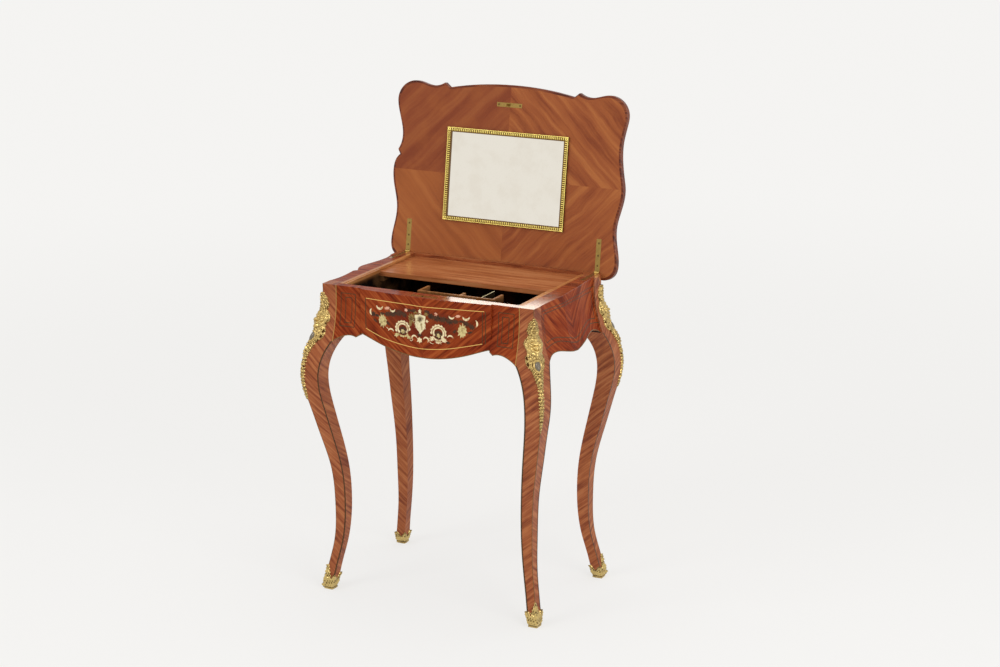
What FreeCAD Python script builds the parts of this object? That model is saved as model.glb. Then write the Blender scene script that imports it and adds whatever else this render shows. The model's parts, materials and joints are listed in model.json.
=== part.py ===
import FreeCAD, Part
import os
import re
import Sketcher
from FreeCAD import Placement, Rotation, Vector

# Poudreuse dressing table. Lengths are in millimetres and angles in degrees.
# The carcass stands on the XY plane, with its front towards -Y and its plan centred on the Z axis.
# The lid is drawn closed, with the hinge axis through the origin, and is then hung open.
# "Out" is the distance outwards from a carcass post, the same from the front and from the side.

SIZES = {
    # Carcass: plan over the posts, height of the rim, and the square post at each corner
    "carcass_width": 525,
    "carcass_depth": 338,
    "rim_height": 722,
    "post_size": 34,
    # Cabriole legs: how far the knee swells out, and how far below the rim the arch meets the post
    "knee_reach": 37.3,
    "spandrel_drop": 125,
    # Front panel: bowed middle, plain side sections, depth of the apron below the rim
    "front_wall": 19,
    "bow_half_width": 162,
    "bow_reach": 17,
    "bow_end_reach": 6,
    "bow_end_lean_share": 0.28,
    "front_apron_depth": 136,
    # Side and back panels
    "side_swell": 5.5,
    "side_apron_depth": 129.2,
    "back_wall": 14,
    "back_swell": 9,
    # Well: lining at each side, depth below the rim, and bottom board
    "lining_thickness": 8.5,
    "well_depth": 92,
    "bottom_thickness": 8,
    # Back rail that caps the back panel and carries the hinges
    "rail_height": 22,
    "rail_width": 11.5,
    "rail_overhang": 14.5,
    "rail_corner": 16,
    # Fixed deck behind the well, with its bearers
    "deck_front_reach": 7,
    "deck_drop": 7,
    "deck_thickness": 10,
    "bearer_width": 12,
    "bearer_height": 12,
    # Bead under the rim along each side of the well
    "bead_width": 5,
    "bead_height": 8,
    "bead_drop": 1,
    # Dividers in the front of the well
    "divider_thickness": 6,
    "divider_drop": 10,
    "divider_setback": 52,
    "divider_left": 61,
    "divider_right": 129,
    "divider_middle": 41,
    "divider_slip": 95,
    "divider_slip_thickness": 2,
    "cross_divider_length": 42,
    "middle_divider_length": 20,
    "divider_slip_length": 62,
    # Lock: mortised case, selvedge plate, keyhole and sliding bolt. The lock and its keyhole, which
    # is in line with the staple, stand a little to the left of the middle.
    "lock_offset": -2,
    "keyhole_offset": -6,
    "lock_setback": 23,
    "lock_case_width": 48,
    "lock_case_depth": 12,
    "lock_case_height": 62,
    "lock_wall": 1.2,
    "lock_chamber_height": 11,
    "selvedge_length": 66,
    "selvedge_width": 12.5,
    "selvedge_thickness": 2,
    "keyhole_drop": 48,
    "keyhole_radius": 1.9,
    "keyhole_slot_width": 1.8,
    "keyhole_slot_depth": 4.5,
    "bolt_body_length": 14,
    "bolt_body_height": 7,
    "bolt_travel": 6,
    "bolt_nose_width": 2.8,
    "bolt_nose_height": 3,
    "staple_slot_clearance": 1,
    # Shield escutcheon let into the bow
    "escutcheon_width": 27,
    "escutcheon_height": 45,
    "escutcheon_drop": 36,
    "escutcheon_thickness": 1.2,
    # Brass fillets at the two front stiles
    "stile_fillet_width": 1.6,
    "stile_fillet_depth": 1.5,
    "stile_fillet_proud": 0.4,
    # Hinges: axis, narrow leaves let in flush, knuckles and pins
    "hinge_overhang": 2.5,
    "hinge_inset": 18,
    "leaf_width": 12,
    "leaf_thickness": 1.6,
    "rim_leaf_length": 81,
    "lid_leaf_length": 76,
    "knuckle_radius": 3,
    "knuckle_length": 3,
    "knuckle_gap": 0.2,
    "hinge_pin_radius": 1.25,
    # Lid
    "lid_open_angle": 98.58,
    "lid_gap": 0.3,
    "lid_side_overhang": 33,
    "lid_front_overhang": 49.5,
    "lid_back_reach": 16,
    "lid_thickness": 15,
    "lid_moulding_width": 5,
    "lid_top_bevel": 1.6,
    "lid_arris_bevel": 0.8,
    # Mirror and its frame, on the underside of the lid
    "frame_width": 309,
    "frame_height": 215,
    "frame_low_reach": 83.4,
    "frame_bar_width": 10.5,
    "frame_bar_depth": 6,
    "mirror_lap": 3,
    "mirror_thickness": 2,
    "backing_thickness": 1.2,
    # Strike plate and its staple, on the underside of the lid
    "strike_length": 64,
    "strike_width": 10,
    "strike_thickness": 1.5,
    "staple_width": 6.5,
    "staple_thickness": 2.4,
    "staple_depth": 11,
    "staple_bar": 1.5,
    "staple_eye_height": 4.2,
    # Gilt knee mounts and sabots
    "knee_mount_thickness": 4.5,
    "knee_mount_width": 31,
    "knee_boss_radius": 19,
    "knee_mount_drop": 19,
    "knee_mount_length": 246,
    "sabot_wall": 2,
    "sabot_sole": 4,
    "sabot_cup_height": 33,
    "sabot_tip_height": 58,
    # Screws
    "screw_head_radius": 2.4,
    "screw_shank_radius": 1.2,
    "screw_length": 9,
    # Fits: a snug hole, the air between moving pieces, and the overrun of every cut
    "fit_clearance": 0.05,
    "moving_clearance": 0.35,
    "cut_overrun": 4,
}

# Sizes that follow from the driving ones. Reaches are measured from the middle of the carcass, and
# those of the lid from the hinge axis.
DERIVED = {
    "spandrel_height": "rim_height - spandrel_drop",
    "front_drop_height": "rim_height - front_apron_depth",
    "side_drop_height": "rim_height - side_apron_depth",
    "well_half_width": "carcass_width / 2 - post_size - lining_thickness",
    "well_front_reach": "carcass_depth / 2 - front_wall",
    "well_back_reach": "carcass_depth / 2 - back_wall",
    "bottom_height": "rim_height - well_depth - bottom_thickness",
    "rail_back_reach": "carcass_depth / 2 + rail_overhang",
    "rail_front_reach": "rail_back_reach - rail_width",
    "divider_reach": "well_front_reach - divider_setback",
    "lock_reach": "well_front_reach + lock_setback",
    "keyhole_height": "rim_height - keyhole_drop",
    "escutcheon_top": "rim_height - escutcheon_drop",
    "hinge_reach": "rail_back_reach + hinge_overhang",
    "hinge_offset": "carcass_width / 2 - hinge_inset",
    "lid_width": "carcass_width + 2 * lid_side_overhang",
    "lid_front_reach": "hinge_reach + carcass_depth / 2 + lid_front_overhang",
    "knee_mount_top_height": "rim_height - knee_mount_drop",
    "knee_mount_low_height": "knee_mount_top_height - knee_mount_length",
}

# Outer arris of a leg: share of the rim height, share of the knee reach
knee_shares = (
    (0, 0.19), (0.017, 0.262), (0.046, 0.175), (0.075, 0.07), (0.152, -0.21), (0.277, -0.316),
    (0.402, -0.17), (0.526, 0.322),
    (0.609, 0.67), (0.706, 1.0), (0.776, 0.86), (0.852, 0.4), (0.914, 0.08), (0.96, 0.0), (1, 0),
)
# Inner face of a leg: share of the spandrel height, share of the post size
tuck_shares = (
    (0, 0.26), (0.022, 0.37), (0.055, 0.485), (0.09, 0.59), (0.184, 0.92), (0.36, 1.165),
    (0.486, 1.07), (0.637, 0.68),
    (0.737, 0.376), (0.837, 0.17), (0.888, 0.215), (0.938, 0.43), (0.968, 0.66), (1, 1),
)
# Knee mount on one face of a leg: share of its height, then of its greatest width and thickness
knee_mount_shares = (
    (0, 0.06, 0.8), (0.07, 0.17, 0.85), (0.17, 0.25, 0.85), (0.36, 0.26, 0.7), (0.43, 0.44, 0.45),
    (0.5, 0.62, 0.4), (0.56, 0.86, 0.55), (0.62, 1.0, 0.8), (0.68, 0.84, 0.85), (0.755, 0.92, 1.0),
    (0.805, 0.5, 0.7), (0.88, 0.52, 0.5), (0.95, 0.36, 0.35), (1, 0.06, 0.25),
)
# Relief on the arris of a knee mount: share of the mount height, share of the boss radius, and how
# far the middle of the bead lies outside the arris, as a share of the boss radius
knee_relief_shares = (
    (0.035, 0.2, 0.1), (0.085, 0.23, 0.09), (0.14, 0.26, 0.08), (0.2, 0.28, 0.07), (0.26, 0.3, 0.06),
    (0.325, 0.33, 0.03), (0.39, 0.36, -0.02), (0.46, 0.4, -0.06), (0.59, 0.62, -0.22),
    (0.75, 1.0, -0.22), (0.875, 0.4, -0.1), (0.94, 0.3, -0.1),
)
# Cup of a sabot: share of its height, then its outer and its inner reach as shares of the post size
sabot_cup_shares = (
    (0, 0.18, 0.24), (0.09, 0.3, 0.35), (0.25, 0.385, 0.4), (0.4, 0.4, 0.435), (0.65, 0.34, 0.49),
    (1, 0.255, 0.55),
)
# Leaf of a sabot over the arris: share of the way from the cup to the tip, share of the post size
sabot_leaf_shares = ((-0.2, 0.36), (0, 0.29), (0.3, 0.22), (0.65, 0.13), (1, 0.02))
# Arch of the front apron: share of the way from the bow to the post, or of the half width of the
# bow, then how far the edge has risen above the lowest point, as a share of the rim height
front_side_arch_shares = ((1, 0.0152), (0.88, 0.023), (0.725, 0.0305), (0.416, 0.0395), (0.124, 0.0362))
front_bow_arch_shares = ((0.976, 0.0485), (0.846, 0.0388), (0.677, 0.0255), (0.353, 0.007), (0, 0))
# Arch of a side or back apron: share of the half length, share of the rim height
apron_arch_shares = (
    (1, 0.0065), (0.963, 0.0114), (0.904, 0.0176), (0.83, 0.0224), (0.704, 0.0245), (0.556, 0.021),
    (0.393, 0.0134), (0.185, 0.0044), (0, 0),
)
# Plans of the two side panels, which differ a little: share of the half depth from the front,
# share of the side swell. Each plan has a step near its middle.
side_plan_shares = {
    "left": (
        ((-0.8, -0.2), (-0.59, -1.0), (-0.36, -0.7), (-0.22, -0.25)),
        ((-0.165, -1.45), (-0.09, -0.2), (0.03, 0.9), (0.18, 0.5), (0.47, -1.0), (0.8, -0.2)),
    ),
    "right": (
        ((-0.8, -0.05), (-0.5, 0.05), (-0.32, 0.45), (-0.14, 0.75)),
        ((-0.11, 0.45), (-0.02, 0.3), (0.13, 0.1), (0.36, -0.15), (0.64, -1.0), (0.8, -0.7)),
    ),
}
# Half outline of the lid: share of the half width, share of the whole reach from the back edge.
# The notch halfway up is on the left side only.
lid_bow_shares = ((0, 1), (0.27, 0.991), (0.44, 0.975), (0.54, 0.962))
lid_ear_shares = (
    (0.583, 0.986), (0.64, 0.969), (0.705, 0.967), (0.84, 0.986), (0.945, 0.955), (0.992, 0.889),
    (0.985, 0.836),
)
lid_left_upper_waist_shares = ((0.943, 0.732), (0.968, 0.599))
lid_left_lower_waist_shares = ((0.947, 0.573), (0.985, 0.54))
lid_right_waist_shares = ((0.961, 0.745), (0.963, 0.645), (0.986, 0.55))
lid_side_shares = (
    (1, 0.495), (0.988, 0.405), (0.951, 0.286), (0.96, 0.2), (0.985, 0.095), (0.965, 0.03),
    (0.91, 0.002), (0.86, 0),
)
# Half outline of the shield: share of its half width, share of its height from the top
shield_shares = ((0, 0), (0.45, 0.07), (0.95, 0.1), (0.9, 0.35), (1, 0.55), (0.6, 0.8), (0, 1))
# Hinge screws along a leaf, as shares of its length
leaf_screw_shares = (0.2, 0.5, 0.87)

# Plan sections in a panel that follows the flare of the knees
FLARE_SECTIONS = 9
# Share of a curve's range within which a height on it is found
HEIGHT_SEARCH_SHARE = 1e-7

document = FreeCAD.newDocument("dressing_table")
sheet = document.addObject("Spreadsheet::Sheet", "Sizes")
for row, (word, value) in enumerate(SIZES.items(), start=1):
    sheet.set("A%d" % row, word)
    sheet.set("B%d" % row, str(value))
    sheet.setAlias("B%d" % row, word)
document.recompute()


class Sizes:
    """Driving and derived sizes by name, for shapes that are worked out in code."""

    def __getattr__(self, word):
        return evaluate(word)


size = Sizes()
pieces = []
X_AXIS = Vector(1, 0, 0)
Y_AXIS = Vector(0, 1, 0)
Z_AXIS = Vector(0, 0, 1)
ORIGIN = Vector(0, 0, 0)


def in_driving_sizes(words):
    """A formula with every derived size written out in driving sizes."""
    def written_out(found):
        word = found.group()
        return "(%s)" % in_driving_sizes(DERIVED[word]) if word in DERIVED else word
    return re.sub(r"[a-z]+_[a-z_]+", written_out, words)


def formula(words):
    """A formula in named sizes, as an expression for the document."""
    return re.sub(r"[a-z]+_[a-z_]+", lambda found: "Sizes." + found.group(), in_driving_sizes(words))


def piece(label, thing, bench="carcass"):
    """Register an object of the document as one piece of the table."""
    thing.Label = label
    pieces.append((thing, bench))
    return thing


def shaped(label, shape, bench="carcass"):
    """A piece whose form is free and worked out in code."""
    thing = document.addObject("Part::Feature", label)
    thing.Shape = shape
    return piece(label, thing, bench)


def outline_on(body, corners, height):
    """A closed outline of straight lines, level at a height, its corners bound to formulas."""
    plane = [part for part in body.Origin.OriginFeatures if part.Role == "XY_Plane"][0]
    outline = body.newObject("Sketcher::SketchObject", body.Name + "_outline")
    outline.AttachmentSupport = [(plane, "")]
    outline.MapMode = "FlatFace"
    outline.setExpression("AttachmentOffset.Base.z", formula(height))
    places = [[evaluate(words) for words in corner] for corner in corners]
    count = len(corners)
    for index in range(count):
        start = Vector(*places[index])
        end = Vector(*places[(index + 1) % count])
        outline.addGeometry(Part.LineSegment(start, end))
    for index in range(count):
        following = (index + 1) % count
        outline.addConstraint(Sketcher.Constraint("Coincident", index, 2, following, 1))
    for index, corner in enumerate(corners):
        for kind, way in (("DistanceX", 0), ("DistanceY", 1)):
            place = Sketcher.Constraint(kind, -1, 1, index, 1, places[index][way])
            number = outline.addConstraint(place)
            outline.setExpression("Constraints[%d]" % number, formula(corner[way]))
    return outline


def evaluate(words):
    """The value of a formula in named sizes."""
    return float(sheet.evalExpression(in_driving_sizes(words)))


def slab(label, corners, height, thickness, bench="carcass"):
    """A flat piece: a straight-sided outline at a height, padded upwards."""
    body = document.addObject("PartDesign::Body", label)
    pad = body.newObject("PartDesign::Pad", label + "_pad")
    pad.Profile = outline_on(body, corners, height)
    pad.setExpression("Length", formula(thickness))
    body.Tip = pad
    return piece(label, body, bench)


def board(label, left, right, front, back, height, thickness, bench="carcass"):
    """A rectangular board between four sides, each a formula."""
    corners = ((left, front), (right, front), (right, back), (left, back))
    return slab(label, corners, height, thickness, bench)


def smooth(points):
    """A smooth curve through the points."""
    curve = Part.BSplineCurve()
    curve.interpolate(points)
    return curve


def closed_face(edges):
    """The flat face inside a ring of edges."""
    return Part.Face(Part.Wire(Part.__sortEdges__(edges)))


def block(low, high):
    """A box between two corners."""
    span = high - low
    return Part.makeBox(span.x, span.y, span.z, low)


def mirrored(shape, side, end):
    """A shape drawn at the front right corner, moved to the corner with these signs of X and Y."""
    if side < 0:
        shape = shape.mirror(ORIGIN, X_AXIS)
    if end > 0:
        shape = shape.mirror(ORIGIN, Y_AXIS)
    return shape


def rod(radius, start, end):
    """A round rod from one point to another."""
    return Part.makeCylinder(radius, (end - start).Length, start, end - start)


# Lines of the leg, drawn in a plane: X is "out" and Z is the height

def knee_line():
    """Outer arris of a leg, from the floor to the rim."""
    return smooth([
        Vector(size.knee_reach * out, 0, size.rim_height * height) for height, out in knee_shares
    ])


def out_at(curve, height):
    """How far out a rising curve lies at a height."""
    low = curve.FirstParameter
    high = curve.LastParameter
    while high - low > HEIGHT_SEARCH_SHARE * curve.LastParameter:
        middle = (low + high) / 2
        if curve.value(middle).z < height:
            low = middle
        else:
            high = middle
    return curve.value(low).x


def column(profile):
    """The front right corner column: one profile seen from the front and from the side."""
    from_front = profile.translated(Vector(size.carcass_width / 2, 0, 0))
    from_side = profile.rotated(ORIGIN, Z_AXIS, -90).translated(Vector(0, -size.carcass_depth / 2, 0))
    return from_front.extrude(Vector(0, -size.carcass_depth, 0)).common(
        from_side.extrude(Vector(size.carcass_width, 0, 0)))


def leg_profile():
    """Profile of a leg and its post."""
    tuck = smooth([
        Vector(-size.post_size * inward, 0, size.spandrel_height * height)
        for height, inward in tuck_shares
    ])
    top_out = Vector(0, 0, size.rim_height)
    top_in = Vector(-size.post_size, 0, size.rim_height)
    spandrel = Vector(-size.post_size, 0, size.spandrel_height)
    arris = knee_line()
    return closed_face([
        arris.toShape(),
        Part.makeLine(top_out, top_in),
        Part.makeLine(top_in, spandrel),
        tuck.toShape(),
        Part.makeLine(tuck.StartPoint, arris.StartPoint),
    ])


def banded_profile(heights, outs, insides):
    """A profile between an outer and an inner smooth line, given at the same heights."""
    outer = smooth([Vector(out, 0, height) for height, out in zip(heights, outs)])
    inner = smooth([Vector(inside, 0, height) for height, inside in zip(heights, insides)])
    return closed_face([
        outer.toShape(),
        inner.toShape(),
        Part.makeLine(outer.StartPoint, inner.StartPoint),
        Part.makeLine(outer.EndPoint, inner.EndPoint),
    ])


def knee_mount_blank():
    """Column around the knee, as wide as the mount on each face and proud by its thickness."""
    arris = knee_line()
    rise = size.knee_mount_top_height - size.knee_mount_low_height
    heights = [size.knee_mount_low_height + rise * share for share, width, thickness in knee_mount_shares]
    outs = [out_at(arris, height) for height in heights]
    proud = []
    inside = []
    for out, (share, width, thickness) in zip(outs, knee_mount_shares):
        proud.append(out + size.knee_mount_thickness * thickness)
        inside.append(out - size.knee_mount_width * width)
    blank = column(banded_profile(heights, proud, inside))
    return blank.fuse(knee_relief(arris))


def knee_relief(arris):
    """Beads, cabochon and boss in a row down the outer arris of the knee."""
    rise = size.knee_mount_top_height - size.knee_mount_low_height
    beads = []
    for share, radius, offset in knee_relief_shares:
        height = size.knee_mount_low_height + rise * share
        reach = out_at(arris, height) + size.knee_boss_radius * offset
        middle = Vector(size.carcass_width / 2 + reach, -size.carcass_depth / 2 - reach, height)
        beads.append(Part.makeSphere(size.knee_boss_radius * radius, middle))
    return beads


def sabot_blank():
    """Cup around the foot, with a leaf that climbs the outer arris."""
    arris = knee_line()
    cup_heights = [size.sabot_cup_height * height for height, out, inward in sabot_cup_shares]
    outs = [size.post_size * out for height, out, inward in sabot_cup_shares]
    insides = [-size.post_size * inward for height, out, inward in sabot_cup_shares]
    cup = column(banded_profile(cup_heights, outs, insides))
    rise = size.sabot_tip_height - size.sabot_cup_height
    heights = [size.sabot_cup_height + rise * share for share, width in sabot_leaf_shares]
    reach = [out_at(arris, height) for height in heights]
    outs = [out + size.sabot_wall for out in reach]
    insides = [out - size.post_size * width for out, (share, width) in zip(reach, sabot_leaf_shares)]
    return cup.fuse(column(banded_profile(heights, outs, insides)))


def screw(at, drive):
    """A countersunk screw, its head flush at the point it is driven at."""
    head = Part.makeCone(size.screw_head_radius, size.screw_shank_radius, size.leaf_thickness, at, drive)
    return head.fuse(Part.makeCylinder(size.screw_shank_radius, size.screw_length, at, drive))


def screw_hole(at, drive):
    """The snug countersunk hole for a screw."""
    loose = size.fit_clearance
    head = Part.makeCone(
        size.screw_head_radius + loose, size.screw_shank_radius + loose, size.leaf_thickness, at, drive)
    return head.fuse(Part.makeCylinder(
        size.screw_shank_radius + loose, size.screw_length + loose, at, drive))


CORNERS = {
    "front_left": (-1, -1), "front_right": (1, -1), "back_left": (-1, 1), "back_right": (1, 1),
}


# Hinges

def rim_leaf_points(side):
    """Where the screws of a rim leaf are driven, from the front to the knuckle."""
    front = size.hinge_reach - size.rim_leaf_length
    return [
        Vector(side * size.hinge_offset, front + size.rim_leaf_length * share, size.rim_height)
        for share in (1 - mark for mark in reversed(leaf_screw_shares))
    ]


def lid_leaf_points(side):
    """Where the screws of a lid leaf are driven, with the lid closed."""
    return [
        Vector(side * size.hinge_offset, -size.lid_leaf_length * share, size.lid_gap)
        for share in leaf_screw_shares
    ]


def leaf(side, length, level, thickness):
    """A flat leaf from the hinge axis forwards, at a level, for the hinge on one side."""
    left = side * size.hinge_offset - size.leaf_width / 2
    return block(
        Vector(left, -length, level), Vector(left + size.leaf_width, 0, level + thickness))


def knuckle(side, start, end, radius):
    """A length of barrel on the hinge axis, its ends measured from the middle of the hinge."""
    middle = side * size.hinge_offset
    return rod(radius, Vector(middle + start, 0, 0), Vector(middle + end, 0, 0))


def hinge_seat(side, above):
    """Room for the barrel and for the leaf in the wood, on the rim or in the lid."""
    half = size.leaf_width / 2 + size.fit_clearance
    barrel = knuckle(side, -half, half, size.knuckle_radius + size.moving_clearance)
    middle = side * size.hinge_offset
    length = size.lid_leaf_length if above else size.rim_leaf_length
    low = size.lid_gap - size.cut_overrun if above else -size.leaf_thickness
    high = size.lid_gap + size.leaf_thickness if above else size.cut_overrun
    return barrel.fuse(block(
        Vector(middle - half, -length - size.fit_clearance, low), Vector(middle + half, 0, high)))


def at_axis(shape):
    """Move a shape drawn about the hinge axis to its place on the carcass."""
    return shape.translated(Vector(0, size.hinge_reach, size.rim_height))


def build_hinges():
    """Two narrow hinges: rim leaf with the middle knuckle, lid leaf with the outer two."""
    outer = size.leaf_width / 2
    tongue = size.knuckle_length / 2
    clear = size.knuckle_radius + size.moving_clearance
    bore = size.hinge_pin_radius + size.fit_clearance
    for name, side in (("left", -1), ("right", 1)):
        gaps = [
            knuckle(side, start, end, clear)
            for start, end in ((-outer, -tongue), (tongue, outer))
        ]
        rim_leaf = leaf(side, size.rim_leaf_length, -size.leaf_thickness, size.leaf_thickness)
        rim_leaf = rim_leaf.cut(gaps).fuse(knuckle(side, -tongue, tongue, size.knuckle_radius))
        rim_leaf = at_axis(rim_leaf.cut(knuckle(side, -outer, outer, bore)))
        rim_leaf = rim_leaf.cut([screw_hole(at, -Z_AXIS) for at in rim_leaf_points(side)])
        shaped("hinge_rim_leaf_" + name, rim_leaf)
        inner = tongue + size.knuckle_gap
        ends = [
            knuckle(side, start, end, size.knuckle_radius)
            for start, end in ((-outer, -inner), (inner, outer))
        ]
        lid_leaf = leaf(side, size.lid_leaf_length, size.lid_gap, size.leaf_thickness)
        lid_leaf = lid_leaf.cut(knuckle(side, -inner, inner, clear)).fuse(ends).removeSplitter()
        lid_leaf = lid_leaf.cut(knuckle(side, -outer, outer, bore))
        lid_leaf = lid_leaf.cut([screw_hole(at, Z_AXIS) for at in lid_leaf_points(side)])
        shaped("hinge_lid_leaf_" + name, lid_leaf, "lid")
        hinge_pin = document.addObject("Part::Cylinder", "hinge_pin_" + name)
        hinge_pin.setExpression("Radius", formula("hinge_pin_radius"))
        hinge_pin.setExpression("Height", formula("leaf_width"))
        at = Vector(side * size.hinge_offset - outer, size.hinge_reach, size.rim_height)
        hinge_pin.Placement = Placement(at, Rotation(Z_AXIS, X_AXIS))
        piece("hinge_pin_" + name, hinge_pin)
    rim_screws = [screw(at, -Z_AXIS) for side in (-1, 1) for at in rim_leaf_points(side)]
    shaped("hinge_rim_screws", Part.makeCompound(rim_screws))
    lid_screws = [screw(at, Z_AXIS) for side in (-1, 1) for at in lid_leaf_points(side)]
    shaped("hinge_lid_screws", Part.makeCompound(lid_screws), "lid")


# Legs with their mounts

def build_legs():
    """Four cabriole legs, each with its post, knee mount and sabot."""
    blank = column(leg_profile())
    sole = block(
        Vector(0, -size.carcass_depth, -size.cut_overrun),
        Vector(size.carcass_width, 0, size.sabot_sole))
    wood = blank.cut(sole)
    knee_mount = knee_mount_blank().cut(wood)
    sabot = sabot_blank().cut(wood)
    cap = block(
        Vector(-size.carcass_width, size.well_back_reach, size.rim_height - size.rail_height),
        Vector(size.carcass_width, size.carcass_depth, size.rim_height + size.cut_overrun))
    below_cap = cap.translated(Vector(0, 0, -size.moving_clearance))
    for name, (side, end) in CORNERS.items():
        leg = mirrored(wood, side, end)
        mount = mirrored(knee_mount, side, end)
        if end > 0:
            leg = leg.cut(cap).cut(at_axis(hinge_seat(side, False)))
            leg = leg.cut([screw_hole(at, -Z_AXIS) for at in rim_leaf_points(side)])
            mount = mount.cut(below_cap)
        shaped("leg_" + name, leg)
        shaped("knee_mount_" + name, mount)
        shaped("sabot_" + name, mirrored(sabot, side, end))


# Panels of the carcass

def flared_block(left, right, inside_reach):
    """Front block between two stations, its face following the knees, its back flat."""
    arris = knee_line()
    first = arris.StartPoint
    last = arris.EndPoint
    inside = size.carcass_depth / 2 - inside_reach
    profile = closed_face([
        arris.toShape(),
        Part.makeLine(first, Vector(-inside, 0, first.z)),
        Part.makeLine(Vector(-inside, 0, first.z), Vector(-inside, 0, last.z)),
        Part.makeLine(Vector(-inside, 0, last.z), last),
    ])
    from_side = profile.rotated(ORIGIN, Z_AXIS, -90)
    from_side.translate(Vector(left, -size.carcass_depth / 2, 0))
    return from_side.extrude(Vector(right - left, 0, 0))


def bow_section(height):
    """Plan of the bowed middle of the front at a height; its ends lean out below."""
    half = size.bow_half_width
    lean = out_at(knee_line(), height) * size.bow_end_lean_share
    end = -size.carcass_depth / 2 - size.bow_end_reach - lean
    crown = Vector(0, -size.carcass_depth / 2 - size.bow_reach, height)
    inside = -size.well_front_reach
    return Part.Wire([
        Part.Arc(Vector(-half, end, height), crown, Vector(half, end, height)).toShape(),
        Part.makeLine(Vector(half, end, height), Vector(half, inside, height)),
        Part.makeLine(Vector(half, inside, height), Vector(-half, inside, height)),
        Part.makeLine(Vector(-half, inside, height), Vector(-half, end, height)),
    ])


def bow_block():
    """The bowed middle of the front, from below the apron up to the rim."""
    low = size.front_drop_height - size.cut_overrun
    sections = [bow_section(height) for height in flare_heights(low, size.rim_height)]
    return Part.makeLoft(sections, True, False)


def arch_void(lines, half_length):
    """Everything below the lines of an apron edge, as a face in the XZ plane.

    Each line is a list of points on the right half, and the lines follow each other inwards."""
    edges = []
    for points in lines:
        edges.append(smooth(points).toShape() if len(points) > 2 else Part.makeLine(*points))
    edges += [edge.mirror(ORIGIN, X_AXIS) for edge in edges]
    right = lines[0][0]
    left = Vector(-right.x, 0, right.z)
    wide = half_length + size.cut_overrun
    ring = [
        right, Vector(wide, 0, right.z), Vector(wide, 0, 0), Vector(-wide, 0, 0),
        Vector(-wide, 0, left.z), left,
    ]
    edges += [Part.makeLine(start, end) for start, end in zip(ring, ring[1:])]
    return closed_face(edges)


def front_arch():
    """The void under the front apron: an arch at each leg, a cusp, and the hanging bow."""
    half = size.carcass_width / 2 - size.post_size
    middle = size.bow_half_width
    low = size.front_drop_height
    side = [
        Vector(middle + (half - middle) * across, 0, low + size.rim_height * rise)
        for across, rise in front_side_arch_shares
    ]
    bow = [
        Vector(middle * across, 0, low + size.rim_height * rise)
        for across, rise in front_bow_arch_shares
    ]
    void = arch_void([side, [side[-1], bow[0]], bow], half)
    void.translate(Vector(0, size.carcass_depth, 0))
    return void.extrude(Vector(0, -size.carcass_depth * 2, 0))


def plain_arch(half):
    """The void under a side or back apron, as a face in the XZ plane."""
    edge = [
        Vector(half * along, 0, size.side_drop_height + size.rim_height * rise)
        for along, rise in apron_arch_shares
    ]
    return arch_void([edge], half)


def mortise():
    """Room for the lock case and its selvedge in the top of the front panel."""
    loose = size.fit_clearance
    half_width = size.lock_case_width / 2 + loose
    half_depth = size.lock_case_depth / 2 + loose
    case = block(
        Vector(size.lock_offset - half_width, -size.lock_reach - half_depth,
               size.rim_height - size.lock_case_height - loose),
        Vector(size.lock_offset + half_width, -size.lock_reach + half_depth,
               size.rim_height + size.cut_overrun))
    return case.fuse(selvedge_block(loose))


def selvedge_block(loose):
    """The selvedge plate's own outline, with this much air around it."""
    half_length = size.selvedge_length / 2 + loose
    half_width = size.selvedge_width / 2 + loose
    return block(
        Vector(size.lock_offset - half_length, -size.lock_reach - half_width,
               size.rim_height - size.selvedge_thickness),
        Vector(size.lock_offset + half_length, -size.lock_reach + half_width,
               size.rim_height + (size.cut_overrun if loose else 0)))


def keyhole():
    """Round keyhole with its slot, from in front of the bow to the middle of the lock case."""
    front = -size.carcass_depth / 2 - size.bow_reach - size.cut_overrun
    start = Vector(0, front, size.keyhole_height)
    end = Vector(0, -size.lock_reach, size.keyhole_height)
    slot = block(
        Vector(-size.keyhole_slot_width / 2, front, size.keyhole_height - size.keyhole_slot_depth),
        Vector(size.keyhole_slot_width / 2, -size.lock_reach, size.keyhole_height))
    hole = rod(size.keyhole_radius, start, end).fuse(slot)
    return hole.translated(Vector(size.keyhole_offset, 0, 0))


def shield():
    """The shield outline around the keyhole, extruded through the front panel."""
    half = size.escutcheon_width / 2
    points = [
        Vector(half * across, 0, size.escutcheon_top - size.escutcheon_height * down)
        for across, down in shield_shares
    ]
    edge = smooth(points).toShape()
    face = closed_face([edge, edge.mirror(ORIGIN, X_AXIS)])
    face.translate(Vector(size.keyhole_offset, 0, 0))
    return face.extrude(Vector(0, -size.carcass_depth, 0))


def lock_screw_points():
    """Where the two screws of the selvedge are driven."""
    reach = (size.selvedge_length + size.lock_case_width) / 4
    return [
        Vector(size.lock_offset + side * reach, -size.lock_reach, size.rim_height) for side in (-1, 1)
    ]


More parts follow.
